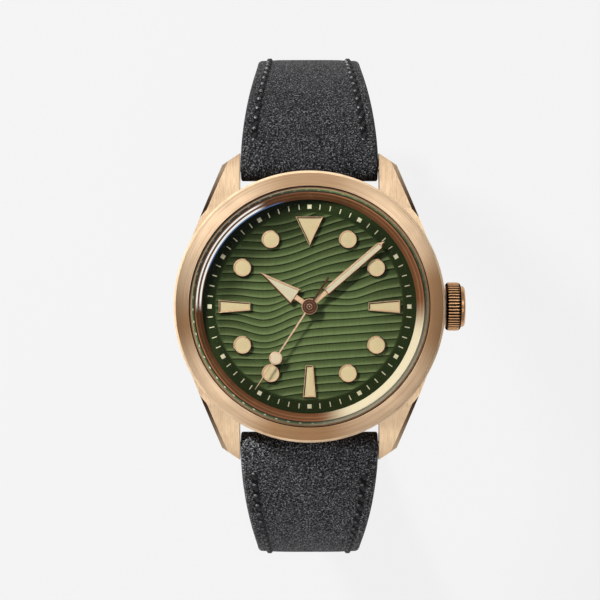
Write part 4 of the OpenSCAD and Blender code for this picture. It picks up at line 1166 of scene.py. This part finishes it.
def shade_side(ring, outside=True, inside=True, away=(1.0, -1.0), least=0.35):
    """Slots of a frame's cells: 1, a dark painted shade, on the walls and on slopes that face away
    from the key lamp.

    A column's outward direction is square to its side and away from the frame's middle. The
    rows are those of framed: a wall, the outer slope, the crest, the inner slope and the base.
    """
    rows, cols = ring.shape[:2]
    line = ring[2, :, :2]
    ahead = np.roll(line, -1, 0) - line
    out = np.stack([ahead[:, 1], -ahead[:, 0]], -1)
    out *= np.sign((out * (line + ahead / 2 - line.mean(0))).sum(1))[:, None]
    lean = out @ np.array(away) / np.maximum(np.hypot(*out.T), 1e-9)
    slots = np.zeros((rows, cols), int)
    slots[1] = 1
    slots[2] = (lean > least) & outside
    slots[4:] = (lean < -0.35) & inside
    return slots.ravel()


def filled(outline, low, high, dome, steps=4):
    """Fill of an outline: a wall, then insets that rise to a dome as 1 - (1 - t)^2."""
    middle = outline.mean(0)
    t = np.linspace(0, 1, steps + 1)[1:]
    rings = [outline, outline] + [outline + (middle - outline) * 0.999 * k for k in t]
    heights = [low, high] + [high + dome * (1 - (1 - k) ** 2) for k in t]
    return stacked(rings, heights)


def subdivided(outline, n):
    """Outline with each side split into n parts."""
    p = np.asarray(outline, float)
    t = np.arange(n)[None, :, None] / n
    return (p[:, None] + (np.roll(p, -1, 0) - p)[:, None] * t).reshape(-1, 2)


def round_outline(r, centre_y, n):
    """Circle of n points round a place on the Y axis."""
    a = np.linspace(0, TURN, n, endpoint=False)
    return np.stack([r * np.cos(a), centre_y + r * np.sin(a)], -1)


def marker_outlines(frame_w):
    """Each marker's hour with its outer and inner outline: triangle, batons and dots."""
    triangle = np.array([(0, 8.64), (2.02, 12.92), (-2.02, 12.92)])
    baton = np.array([(-0.57, 8.45), (0.57, 8.45), (0.96, 13.03), (-0.96, 13.03)])
    dot_r, dot_inner_r, dot_y, dot_steps = 1.33, 1.27 - frame_w, 11.1, 48
    for hour in (0, 3, 6, 9):
        outline = baton if hour else triangle
        yield hour, subdivided(outline, 6), subdivided(inset(outline, frame_w), 6)
    for hour in (1, 2, 4, 5, 7, 8, 10, 11):
        yield hour, *(round_outline(r, dot_y, dot_steps) for r in (dot_r, dot_inner_r))


class WATCH_OT_markers(bpy.types.Operator):
    """Builds the gilt marker frames and their luminous fill"""

    bl_idname = "watch.markers"
    bl_label = "Markers"

    def execute(self, context):
        dial, metal = context.scene.watch_dial, context.scene.watch_metal
        frames, fills = Shell(), Shell()
        for hour, outer, inner in marker_outlines(dial.frame_w / MM):
            long = hour % 3 == 0
            crest, sunk = ((0.3, 0.45), 0.15) if long else ((0.45, 0.65), 0.07)
            ring = framed(outer, inner, MARKER_Z, MARKER_TOP, 0.16, crest)
            ring = about_z(ring, 30 * hour)
            frames.grid(ring, close_rows=True)
            # painted shade: the dark slot goes on the walls and the slopes turned from the key lamp
            frames.slots[-1] = shade_side(ring, not long, long, least=-0.5)
            fill = filled(inner, MARKER_Z, MARKER_TOP - sunk, 0.04)
            fills.grid(about_z(fill, 30 * hour))
        gilt = polished("marker gilt", tint(metal.gilt), tint(metal.patina), 0.22, 0.3)
        # dark bronze for the walls and shaded slopes: painted shade
        side = polished("marker flank", rgba(74, 46, 30), rgba(36, 22, 14), 0.35, 0.6)
        frames.build("hour_frames", "case", "marker_gold", [gilt, side], ["marker_frames"])
        paste = luminous("marker lume", tint(dial.lume))
        fills.build("hour_fills", "case", "lume", [paste], ["marker_lume"])
        return {"FINISHED"}


def hub_rows(hole, r, low, high, bevel):
    """Hub: a ring with a bevelled upper edge, turned round Z."""
    loop = [
        (hole, low), (r, low), (r, high - bevel), (r - 0.5 * bevel, high - 0.15 * bevel),
        (r - bevel, high), (hole, high),
    ]
    return turned(loop, HUB_STEPS)[0]


def bar_rows(half_a, half_b, near, far, low, high, bevel):
    """Flat bar along Y with bevelled upper edges, closed at its foot and top."""
    outline = np.array([(-half_a, near), (half_a, near), (half_b, far), (-half_b, far)])
    top = inset(outline, bevel)
    shut = outline.mean(0) + (outline - outline.mean(0)) * 0.001
    return stacked([shut, outline, outline, top, shut], [low, low, high - bevel, high, high])


class WATCH_OT_hands(bpy.types.Operator):
    """Builds the three hands with their luminous fills"""

    bl_idname = "watch.hands"
    bl_label = "Hands"

    def execute(self, context):
        dial, metal = context.scene.watch_dial, context.scene.watch_metal
        width, patina = dial.frame_w / MM, tint(metal.patina)
        gilt = polished("hand gilt", tint(metal.gilt), patina, 0.22, 0.35)
        copper = polished("seconds copper", rgba(236, 196, 166), patina, 0.24, 0.5)
        dark = polished("hub bronze", rgba(92, 62, 48), rgba(36, 24, 18), 0.3)
        pale = luminous("hand lume", tint(dial.hand_lume))
        # dark bronze for the walls and shaded slopes: painted shade
        painted_shade_flank = polished("hand flank", rgba(84, 52, 35), rgba(40, 24, 16), 0.35, 0.6)
        arrow = [(-1.32, 2.35), (1.32, 2.35), (0, 8.85)]
        blade = [(-0.6, 3.1), (0.6, 3.1), (0.55, 13.3), (0, 14.25), (-0.55, 13.3)]
        blade_fill = [(-0.31, 3.36), (0.31, 3.36), (0.3, 13.3), (0, 13.4), (-0.3, 13.3)]
        outlines = (subdivided(arrow, 8), subdivided(inset(arrow, 1.35 * width), 8))
        framed_hand("hour", outlines, (0.83, 1.15), (0.37, 0.85, 2.45), [gilt, painted_shade_flank], pale)
        outlines = (subdivided(blade, 6), subdivided(blade_fill, 6))
        framed_hand("minute", outlines, (0.57, 0.95), (0.34, 0.6, 3.2), [gilt, painted_shade_flank], pale)
        bright = luminous("seconds hand lume", rgba(248, 226, 192))
        seconds_hand(width, [copper, dark], bright)
        return {"FINISHED"}


def hand_turn(node):
    """Clockwise angle of a hand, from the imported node's farthest point off the axis."""
    co = np.empty(3 * len(frame["nodes"][node].data.vertices), np.float32)
    frame["nodes"][node].data.vertices.foreach_get("co", co)
    x, y, _ = co.reshape(-1, 3).astype(float).T
    far = np.hypot(x, y) > 0.995 * np.hypot(x, y).max()
    return np.degrees(np.arctan2(x[far].mean(), y[far].mean()))


def framed_hand(body, outlines, hub, stalk, finishes, paste):
    """Hour or minute hand: hub, stalk and a framed blade, each a stack of outlines.

    The hub is given by its hole and radius, the stalk by its half width, start and end.
    """
    node = body + "_hand"
    low, high, at = low_of(node), top_of(node), hand_turn(node)
    outer, inner = outlines
    half, near, far = stalk
    bevel, slope, step = 0.06, 0.12, 0.002
    shell = Shell().grid(hub_rows(*hub, low, high, bevel), close_rows=True)
    shell.grid(about_z(bar_rows(half, half, near, far, low, high - step, bevel), at))
    ring = about_z(framed(outer, inner, low, high, slope), at)
    shell.grid(ring, close_rows=True)
    # painted shade on the walls and the side turned from the key lamp
    shell.slots[-1] = shade_side(ring, away=(0.35, -1.0))
    shell.build(node + "_frame", body, "hand_gold", finishes, [node])
    hand_fill(body, inner, low, high, at, paste)


def hand_fill(body, outline, low, high, at, paste):
    """Luminous fill of a hand's frame, sunk a little below its crest."""
    lift, sunk, dome = 0.01, 0.05, 0.03
    fill = filled(outline, low + lift, high - sunk, dome)
    Shell().grid(about_z(fill, at)).build(
        body + "_hand_fill", body, "lume", [paste], [body + "_lume"]
    )


def seconds_hand(width, finishes, paste):
    """Seconds hand: a tapered needle with a framed disc, and a hub of turned rings."""
    low, high, at = low_of("seconds_hand"), top_of("seconds_hand"), hand_turn("seconds_hand")
    disc_y, disc_r, overlap = 8.84, 0.93, 0.8
    shell = Shell()
    for near, far, a, b, slot in (
        # the tail takes the dark slot as painted shade
        (-5.0, -1.0, 0.16, 0.14, 1),
        (1.0, disc_y - overlap, 0.125, 0.11, 0),
        (disc_y + overlap, 14.2, 0.1, 0.05, 0),
    ):
        shell.grid(about_z(bar_rows(a, b, near, far, low, high, 0.04), at), slot=slot)
    outer, inner = (round_outline(r, disc_y, DISC_STEPS) for r in (disc_r, disc_r - width))
    shell.grid(about_z(framed(outer, inner, low, high, 0.05), at), close_rows=True)
    cap, lip = top_of("seconds_pinion") + 0.02, 0.02
    hub = [
        (0.32, low), (1.1, low), (1.1, high - 0.05), (1.05, high), (0.86, high),
        (0.84, high - 0.05), (0.76, high - 0.05), (0.74, high), (0.5, high + lip),
        (0.48, high - lip), (0.4, high - lip), (0.38, cap - lip), (0.34, cap), (0.12, cap),
        (0.1, cap - lip), (0.0, cap - lip),
    ]
    shell.grid(turned(hub, HUB_STEPS)[0])
    bright = np.isin(np.arange(len(hub) - 1), (2, 6, 10, 11, 14))
    shell.slots[-1] = np.repeat(1 - bright.astype(int), HUB_STEPS)
    shell.build("seconds_hand_frame", "seconds", "seconds_bronze", finishes, ["seconds_hand"])
    hand_fill("seconds", inner, low, high, at, paste)


# Strap


def strap_path(s):
    """Point and direction angle of the strap's middle line at a length s from the spring bar.

    An arc from the bar to level with the loop's side, a straight drop, then an arc under.
    """
    a0 = np.arcsin(BAR_Y / LOOP_R)
    arc = LOOP_R * (np.pi / 2 - a0)
    under = np.pi / 2 + np.maximum(s - arc - LOOP_DROP, 0) / LOOP_R
    a = np.where(s < arc, a0 + s / LOOP_R, under)
    fall = np.clip(s - arc, 0, LOOP_DROP)
    top = BAR_Z - np.sqrt(LOOP_R**2 - BAR_Y**2)
    return LOOP_R * np.sin(a), top + LOOP_R * np.cos(a) - fall, a


def half_width(s):
    """Half of the strap's width: eased from its width at the bar to its end's width."""
    return (STRAP_W - (STRAP_W - STRAP_END_W) * smooth(s / WIDTH_TAPER)) / 2


def thickness(s):
    """The strap's thickness: eased from that at the bar to that at its end."""
    return STRAP_T - (STRAP_T - STRAP_END_T) * smooth(s / THICKNESS_TAPER)


def placed(x, up, s):
    """Points at x across the strap and up out of its middle line, at each length s."""
    y, z, a = strap_path(s)
    return np.stack([x, y + up * np.sin(a), z + up * np.cos(a)], -1)


def swept(x, up, s):
    """A section's rows carried along the path and drawn shut at both ends, with their flat map."""
    s = np.broadcast_to(s, x.shape)
    p = placed(x, up, s)
    shut = p.mean(1, keepdims=True)
    p = np.concatenate([shut[:1] + 0 * p[:1], p, shut[-1:] + 0 * p[-1:]])
    return p, np.stack([np.concatenate([v[:1], v, v[-1:]]) for v in (s, x)], -1)


def seam_dip(x, half, s, stitch, margin, lined):
    """How far the seams pull the top down: a groove at each seam, deeper at every stitch."""
    groove_w, depth, tug = 0.55, 0.10, 0.05
    off = (half - margin - np.abs(x)) / groove_w
    pull = depth + tug * np.cos(TURN * s / stitch)
    return lined * pull * np.exp(-(off**2))


def hide_sweep(rows, seams=None, tops=46):
    """Leather: one cross-section carried along the path, with closed ends.

    A row gives a length, both sides, the underside and the top. The section has a flat underside,
    straight sides, round upper edges and a padded crown that rises as 1 - (2 t - 1)^4 between
    them. Seams are given by their pitch, their margin, and where they start and stop.
    """
    s, left, right, low, high = (np.asarray(v, float)[:, None] for v in np.broadcast_arrays(*rows))
    round_max, round_share, crown_share, waist_share, lead = 0.75, 0.38, 0.08, 0.4, 1.5
    t = high - low
    e = np.minimum(round_max, round_share * t)
    q = np.linspace(0, np.pi / 2, 6)[None, :]
    k = np.linspace(0, 1, tops)[None, 1:-1]
    under = np.linspace(0, 1, 14)[None, :]
    wide, crown, waist = right - left, crown_share * t, low + waist_share * (t - e)
    x = np.concatenate([
        left + wide * under, right + 0 * t, right - e + e * np.cos(q),
        right - e - (wide - 2 * e) * k, left + e - e * np.sin(q), left + 0 * t,
    ], 1)
    z = np.concatenate([
        low + 0 * under + 0 * t, waist, high - e + e * np.sin(q),
        high + crown * (1 - (2 * k - 1) ** 4), high - e + e * np.cos(q), waist,
    ], 1)
    if seams is not None:
        stitch, margin, start, stop = seams
        lined = smooth((s - start) / lead) * smooth((stop - s) / lead)
        is_top = z > high - 0.5 * e
        z = z - seam_dip(x, wide / 2, s, stitch, margin, lined) * is_top
    return swept(x, z, s)


def end_rows(s0, side):
    """Lengths and half heights of a rounded end, from the tip to the middle of the round."""
    a = np.radians([86, 74, 60, 45, 30, 15, 4])
    h = thickness(s0) / 2
    return s0 + side * h * np.sin(a), h * np.cos(a), 0.8 * (1 - np.cos(a))


def spread(start, stop, step):
    """Even lengths from start to stop, about a step apart."""
    return np.linspace(start, stop, max(2, int(round(abs(stop - start) / step)) + 1))


def hole_run(start, stop, step):
    """Lengths from start to stop, a step apart, and closer along the adjusting holes."""
    lead, close = 1.6, 0.2
    fine = spread(HOLES[-1] - lead, HOLES[0] + lead, close)
    before, after = spread(start, fine[0] - step, step), spread(fine[-1] + step, stop, step)
    return np.concatenate([before, fine, after])


def stacked_rows(parts):
    """Joins runs of rows: each run gives lengths, half widths, undersides and tops."""
    runs = [np.broadcast_arrays(*(np.asarray(v, float) for v in part)) for part in parts]
    return [np.concatenate(column) for column in zip(*runs)]


def lined_rows(s):
    """Rows of leather that lies on the lining."""
    h = thickness(s) / 2
    return s, half_width(s), LINING_T + LINING_GAP - h, h


def full_rows(s):
    """Rows of leather as thick as the strap."""
    h = thickness(s) / 2
    return s, half_width(s), -h, h


def start_rows():
    """Rows from the rounded end over the spring bar to where the lining starts."""
    s, h, narrow = end_rows(0.0, -1)
    return [(s, half_width(s * 0) - narrow, -h, h), full_rows(np.linspace(0, LINING_FROM, 9))]


def tail_half(s):
    """Half width of the rounded tail: it closes as the root of 1 - t^2.2."""
    t = np.clip((s - LOWER_LEN + TAIL) / TAIL, 0, 1)
    return half_width(s) * np.sqrt(np.maximum(1 - t**2.2, 0))


def tail_lengths():
    """Lengths along the tail, closer towards its tip, and just short of it."""
    t = np.sin(np.linspace(0, 1, 22) * np.pi / 2)
    return LOWER_LEN - TAIL + TAIL * np.minimum(t, 0.9985)


def upper_hide(strap):
    """Buckle half: the main run, then two legs beside the tongue's slot."""
    main_end = UPPER_LEN - SLOT_BACK
    s, half, low, high = stacked_rows(start_rows() + [
        lined_rows(spread(LINING_FROM + HIDE_STEP, UPPER_LEN - FOLD - HIDE_STEP, HIDE_STEP)),
        full_rows(spread(UPPER_LEN - FOLD, main_end, 0.4)),
    ])
    seams = (strap.stitch / MM, strap.margin / MM, SEAM_FROM, UPPER_LEN - 3.0)
    shell = Shell().grid(*hide_sweep((s, -half, half, low, high), seams))
    tip_s, tip_h, _ = (v[::-1] for v in end_rows(UPPER_LEN, 1))
    tip = (tip_s, half_width(tip_s), -tip_h, tip_h)
    s, half, low, high = stacked_rows([full_rows(spread(main_end, UPPER_LEN, 0.4)), tip])
    near = SLOT_W / 2 + 0 * half
    for left, right in ((-half, -near), (near, half)):
        shell.grid(*hide_sweep((s, left, right, low, high), None, 18))
    return shell


def lower_hide(strap):
    """Hole half: the main run with a rounded tail and punched holes."""
    run = hole_run(LINING_FROM + HIDE_STEP, LOWER_LEN - TAIL - HIDE_STEP, HIDE_STEP)
    tail = tail_lengths()
    h = thickness(tail) / 2
    end = (tail, tail_half(tail), LINING_T + LINING_GAP - h, h)
    s, half, low, high = stacked_rows(start_rows() + [lined_rows(run), end])
    seams = (strap.stitch / MM, strap.margin / MM, SEAM_FROM, LOWER_LEN - TAIL)
    shell = Shell().grid(*hide_sweep((s, -half, half, low, high), seams, 66))
    return punched(shell).mirror()


def punched(shell):
    """Opens the adjusting holes in a strap shell and walls them.

    The shell's flat map is length and width. Points inside a hole move out to its rim along the
    strap's surface, cells inside it go, and a tube of three rings is its wall.
    """
    p, cells, flat = shell.points[0], shell.cells[0], shell.maps[0]
    spot = np.empty((len(p), 2))
    spot[cells.ravel()] = flat
    kept = np.ones(len(cells), bool)
    a = np.linspace(0, TURN, 40, endpoint=False)
    walls, wall_top = [], 1.12
    for s0 in HOLES:
        off = spot - (s0, 0.0)
        d = np.hypot(*off.T)
        inside = d < HOLE_R
        kept &= ~inside[cells].all(1)
        goal = (s0, 0.0) + off[inside] * (HOLE_R / np.maximum(d[inside], 1e-6))[:, None]
        y, z, ang = strap_path(spot[inside, 0])
        up = (p[inside, 1] - y) * np.sin(ang) + (p[inside, 2] - z) * np.cos(ang)
        p[inside] = placed(goal[:, 1], up, goal[:, 0])
        s_ring, x_ring = s0 + HOLE_R * np.sin(a), HOLE_R * np.cos(a)
        h = thickness(s_ring) / 2
        ups = np.stack([-h + LINING_T + LINING_GAP, 0 * h, h * wall_top])
        walls.append(placed(*np.broadcast_arrays(x_ring, ups, s_ring)))
    shell.keep(0, kept)
    for ring in walls:
        shell.grid(ring)
    return shell


def lining_sweep(s, half):
    """Lining: a flat band along the inside of the leather, with soft long edges."""
    s, half = np.asarray(s, float)[:, None], np.asarray(half, float)[:, None] - LINING_INSET
    low = -thickness(s) / 2
    waist = low + 0.5 * LINING_T
    k = np.linspace(-1, 1, 40)[None, :]
    x = np.concatenate([half * k, half + 0 * s, half * k[:, ::-1], -half + 0 * s], 1)
    z = np.concatenate([low + 0.12 * np.abs(k) ** 12, waist, low + LINING_T + 0 * k, waist], 1)
    return Shell().grid(*swept(x, z, s))


def stitches(s, side, margin, thread, span):
    """Threads of one seam: slanted, arched capsules along the path, half sunk in the leather.

    A capsule's girth closes at both ends as the root of 1 - |t|^3, and its back rises as 1 - t^2.
    """
    slant, rise, flatness = 0.26, 0.10, 0.8
    q = np.linspace(0, TURN, 6, endpoint=False)
    t = np.linspace(-1, 1, 7)[:, None]
    girth = thread / 2 * np.sqrt(np.maximum(1 - np.abs(t) ** 3, 0.0))
    middle = side * (half_width(s) - margin)[:, None, None]
    top = (thickness(s) * 0.5)[:, None, None]
    ss = s[:, None, None] + span / 2 * t + 0 * q
    x = middle + slant * t + girth * np.cos(q) + 0 * ss
    up = top + (rise * (1 - t**2) + girth * np.sin(q) * flatness) + 0 * ss
    uv = np.stack(np.broadcast_arrays(span / 2 * t + 0 * x, thread * q / 2 + 0 * x), -1)
    return placed(x, up, ss), uv


def seam_shell(strap, stop):
    """Both seams of one half: stitches along each edge from past the bar to the fold or tail."""
    pitch, margin, thread = strap.stitch / MM, strap.margin / MM, strap.thread_d / MM
    first = pitch * np.ceil(LINING_FROM / pitch)
    s = np.arange(first, stop, pitch)
    shell = Shell()
    for side in (-1, 1):
        for capsule, flat in zip(*stitches(s, side, margin, thread, STITCH_SHARE * pitch)):
            shell.grid(capsule, flat, flip=True)
    return shell


class WATCH_OT_strap(bpy.types.Operator):
    """Builds the two strap halves with their linings and stitches"""

    bl_idname = "watch.strap"
    bl_label = "Strap"

    def execute(self, context):
        strap = context.scene.watch_strap
        colours, margin = (tint(strap.suede), tint(strap.shade)), strap.margin / MM
        nap = suede("upper suede", *colours, 1.0, margin)
        # painted light: the hole half's suede is painted 2.6 times brighter
        back = suede("lower suede", *colours, 2.6, margin)
        inside = smooth_hide("strap lining", tint(strap.lining))
        thread = twisted("strap thread", tint(strap.thread))
        upper_hide(strap).build(
            "suede_upper", "upper_strap", "suede", [nap], ["strap_upper"], COARSE_WELD
        )
        lower_hide(strap).build(
            "suede_lower", "lower_strap", "suede", [back], ["strap_lower"], COARSE_WELD
        )
        gap = 0.6
        s = spread(LINING_FROM + gap, UPPER_LEN - FOLD - gap, LINING_STEP)
        lining_sweep(s, half_width(s)).build(
            "lining_band_upper", "upper_strap", "lining", [inside], ["lining_upper"], COARSE_WELD
        )
        run = hole_run(LINING_FROM + gap, LOWER_LEN - TAIL, LINING_STEP)[:-1]
        s = np.concatenate([run, tail_lengths()])
        band = lining_sweep(s, tail_half(s) + LINING_INSET * (s > LOWER_LEN - 1.0))
        punched(band).mirror().build(
            "lining_band_lower", "lower_strap", "lining", [inside], ["lining_lower"], COARSE_WELD
        )
        seam_shell(strap, UPPER_LEN - FOLD - 1.0).build(
            "seam_upper", "upper_strap", "suede", [thread], (), 0
        )
        seam_shell(strap, LOWER_LEN - TAIL - 1.0).mirror().build(
            "seam_lower", "lower_strap", "suede", [thread], (), 0
        )
        return {"FINISHED"}


def box_outline(left, right, low, high):
    """Corners of a rectangle, anticlockwise from its lower left."""
    return np.array([(left, low), (right, low), (right, high), (left, high)])


def keeper_shell(s0):
    """Keeper: a soft rectangular band section carried round a rounded loop."""
    wall, depth, gap, room, bend = 1.0, 5.0, 0.3, 0.9, 0.9
    half = half_width(s0) + gap + wall / 2
    low = -thickness(s0) / 2 - gap - wall / 2
    high = 1.5 * STRAP_END_T + room + wall / 2
    corners = np.roll(box_outline(-half, half, low, high), -1, 0)
    loop = closed_rounds(corners, [bend] * 4, 9)
    loop = np.concatenate([
        np.linspace(a, b, 6, endpoint=False) if np.hypot(*(b - a)) > 1 else a[None]
        for a, b in zip(loop, np.roll(loop, -1, 0))
    ])
    ahead = np.roll(loop, -1, 0) - np.roll(loop, 1, 0)
    ahead /= np.hypot(*ahead.T)[:, None]
    out = np.stack([ahead[:, 1], -ahead[:, 0]], -1)
    section = box_outline(-wall / 2, wall / 2, -depth / 2, depth / 2)
    band = closed_rounds(section, [0.3] * 4, 5)
    across = loop[:, None, :] + out[:, None, :] * band[None, :, :1]
    x, up = across[..., 0], across[..., 1]
    along = np.broadcast_to(band[None, :, 1], x.shape)
    y, z, a = strap_path(np.full(along.shape, s0))
    y = y + up * np.sin(a) + along * np.cos(a)
    z = z + up * np.cos(a) - along * np.sin(a)
    return Shell().grid(np.stack([x, y, z], -1), close_rows=True)


class WATCH_OT_buckle(bpy.types.Operator):
    """Builds the keepers and finishes the buckle and spring bars"""

    bl_idname = "watch.buckle"
    bl_label = "Buckle"

    def execute(self, context):
        metal, strap = context.scene.watch_metal, context.scene.watch_strap
        nap = suede("keeper suede", tint(strap.suede), tint(strap.shade))
        fixed, free = UPPER_LEN - 10.0, UPPER_LEN - 16.6
        keeper_shell(fixed).build("keeper_sewn", "upper_strap", "suede", [nap], ["fixed_keeper"])
        keeper_shell(free).build("keeper_sliding", "loose_keeper", "suede", [nap], ["free_keeper"])
        looks = (tint(metal.bronze), tint(metal.patina), metal.brush / MM)
        satin = brushed("buckle bronze", *looks, (0.03, 1.0, 1.0), 0.28)
        solid_look(satin, "buckle_frame", round_mm=0.18)
        solid_look(satin, "buckle_tongue", round_mm=0.12)
        steel = polished("bar steel", tint(metal.steel), rgba(120, 121, 124), 0.2)
        solid_look(
            steel, "buckle_bar", "upper_bar", "lower_bar", "upper_pin_left", "upper_pin_right",
            "lower_pin_left", "lower_pin_right",
        )
        return {"FINISHED"}


class WATCH_OT_movement(bpy.types.Operator):
    """Finishes the wheels, plates, rotor and springs inside the case"""

    bl_idname = "watch.movement"
    bl_label = "Movement"

    def execute(self, context):
        metal = context.scene.watch_metal
        steel, brass = tint(metal.steel), tint(metal.brass)
        lines = metal.brush / MM
        plate = brushed("plate brass", brass, rgba(140, 110, 60), lines, (0.05, 1.0, 1.0), 0.34)
        wheel = ringed("wheel brass", brass, rgba(150, 118, 66), lines, 0.26, 0.3)
        grey = brushed("bridge steel", steel, rgba(110, 111, 114), lines, (1.0, 0.04, 1.0), 0.3)
        bright = polished("movement steel", steel, rgba(120, 121, 124), 0.16)
        blue = polished("spring blue", rgba(60, 84, 150), rgba(26, 36, 80), 0.16)
        solid_look(plate, "main_plate")
        solid_look(
            wheel, "barrel", "centre_wheel", "third_wheel", "fourth_wheel", "minute_wheel",
            "hour_wheel", "balance_wheel",
        )
        solid_look(grey, "train_bridge", "movement_ring", "rotor")
        solid_look(bright, "escape_wheel", "pallet_fork", "seconds_pinion", "rotor_bearing")
        solid_look(blue, "hairspring")
        solid_look(jewel_red("jewel ruby"), "jewels")
        return {"FINISHED"}


# Stage


def lamp(name, place, size, power):
    """Soft square lamp at a place in millimetres, turned towards the origin.

    Its Z axis points at the lamp from the origin and its X axis is level with the dial.
    """
    data = bpy.data.lights.new(name, "AREA")
    data.shape, data.size, data.energy = "SQUARE", size * MM, power
    obj = linked(name, data)
    here = np.array(place, float)
    obj.location = here * MM
    z = here / np.linalg.norm(here)
    x = np.cross((0.0, 1.0, 0.0), z)
    x /= np.linalg.norm(x)
    obj.rotation_mode = "QUATERNION"
    obj.rotation_quaternion = quaternion(np.stack([x, np.cross(z, x), z], 1))
    return obj


def quaternion(m):
    """Unit quaternion of a rotation matrix that isn't a half turn."""
    w = np.sqrt(max(1e-12, 1 + np.trace(m))) / 2
    turn = (m[2, 1] - m[1, 2], m[0, 2] - m[2, 0], m[1, 0] - m[0, 1])
    return (w, *(v / (4 * w) for v in turn))


def backdrop(paper):
    """Floor paper: the camera and reflections see its colour, and it keeps a soft shadow."""
    f = Finish("backdrop paper")
    speck = f.noise(f.place(), 3000.0, 2.0)
    shade = f.layers(paper, (speck * 0.01, times(paper, 0.98)))
    matt = f.surface(Base_Color=shade, Roughness=0.9)
    glow = f.add("ShaderNodeEmission", inputs={"Color": paper, "Strength": 1.0})
    seen = f.ray("Camera").most(f.ray("Glossy")).most(f.ray("Transmission"))
    return f.blend(seen * 0.96, matt, glow)


def paper_floor(paper):
    """Square floor just below the object, centred under it."""
    ground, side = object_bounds()[0].z / MM - 0.05, 1500.0
    corners = [(*p, ground) for p in box_outline(-side, side, -side, side)]
    mesh = bpy.data.meshes.new("floor")
    mesh.from_pydata((np.array(corners) * MM).tolist(), [], [(0, 1, 2, 3)])
    mesh.materials.append(backdrop(paper))
    linked("floor", mesh)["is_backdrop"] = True


class WATCH_OT_stage(bpy.types.Operator):
    """Sets the floor, the soft lamps, the sky and the camera"""

    bl_idname = "watch.stage"
    bl_label = "Stage"

    def execute(self, context):
        stage = context.scene.watch_stage
        paper = tint(stage.paper)
        paper_floor(paper)
        lamp("key", (-300, 300, 360), 80, stage.key).visible_glossy = False
        lamp("fill", (60, -420, 280), 320, 0.18 * stage.key).visible_glossy = False
        for name, place, size, power in (
            ("roof", (20, 0, 640), 420, 0.5),
            ("wall 12", (0, 560, 330), 460, 0.9),
            ("wall 6", (0, -560, 330), 460, 0.75),
            ("panel 10", (-200, 200, 530), 200, 0.5),
            ("panel 2", (200, 200, 530), 200, 0.4),
            ("panel 7", (-200, -200, 530), 200, 0.34),
            ("panel 4", (200, -200, 530), 200, 0.22),
        ):
            lamp(name, place, size, power).visible_diffuse = False
        context.scene.world = sky(paper)
        data = bpy.data.cameras.new("camera")
        data.lens, data.sensor_width = stage.lens, 36.0
        data.clip_start, data.clip_end = 0.01, 10.0
        camera = linked("camera", data)
        camera.location = (stage.across, stage.along, stage.far)
        context.scene.camera = camera
        context.scene.view_settings.view_transform = "Standard"
        return {"FINISHED"}


def sky(paper):
    """Pale surroundings: soft light on the object, and the paper's colour for the camera."""
    f = Finish("studio", "World")
    pale = {"Color": (0.95, 0.97, 1.0, 1.0), "Strength": 0.14}
    soft = f.add("ShaderNodeBackground", inputs=pale)
    seen = f.add("ShaderNodeBackground", inputs={"Color": paper, "Strength": 1.0})
    return f.blend(f.ray("Camera"), soft, seen)


# Panel and run

GROUPS = {
    "watch_metal": WatchMetal,
    "watch_dial": WatchDial,
    "watch_strap": WatchStrap,
    "watch_stage": WatchStage,
}
OPERATORS = (
    WATCH_OT_case, WATCH_OT_bezel, WATCH_OT_crystal, WATCH_OT_crown, WATCH_OT_dial,
    WATCH_OT_markers, WATCH_OT_hands, WATCH_OT_strap, WATCH_OT_buckle, WATCH_OT_movement,
    WATCH_OT_stage,
)


class WATCH_PT_panel(bpy.types.Panel):
    """Sizes, colours and build steps of the watch"""

    bl_idname = "WATCH_PT_panel"
    bl_label = "Watch"
    bl_space_type = "VIEW_3D"
    bl_region_type = "UI"
    bl_category = "Watch"

    def draw(self, context):
        for group, kind in GROUPS.items():
            box = self.layout.box()
            for name in kind.__annotations__:
                box.prop(getattr(context.scene, group), name)
        for step in OPERATORS:
            self.layout.operator(step.bl_idname)


def register():
    """Registers the classes and gives the scene its groups of sizes and colours."""
    for kind in (*GROUPS.values(), *OPERATORS, WATCH_PT_panel):
        bpy.utils.register_class(kind)
    for group, kind in GROUPS.items():
        setattr(bpy.types.Scene, group, bpy.props.PointerProperty(type=kind))


def unregister():
    """Takes the groups and classes away again."""
    for group in GROUPS:
        delattr(bpy.types.Scene, group)
    for kind in reversed((*GROUPS.values(), *OPERATORS, WATCH_PT_panel)):
        bpy.utils.unregister_class(kind)


def main():
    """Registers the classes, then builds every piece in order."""
    register()
    for step in OPERATORS:
        family, name = step.bl_idname.split(".")
        getattr(getattr(bpy.ops, family), name)()


if __name__ == "__main__":
    main()
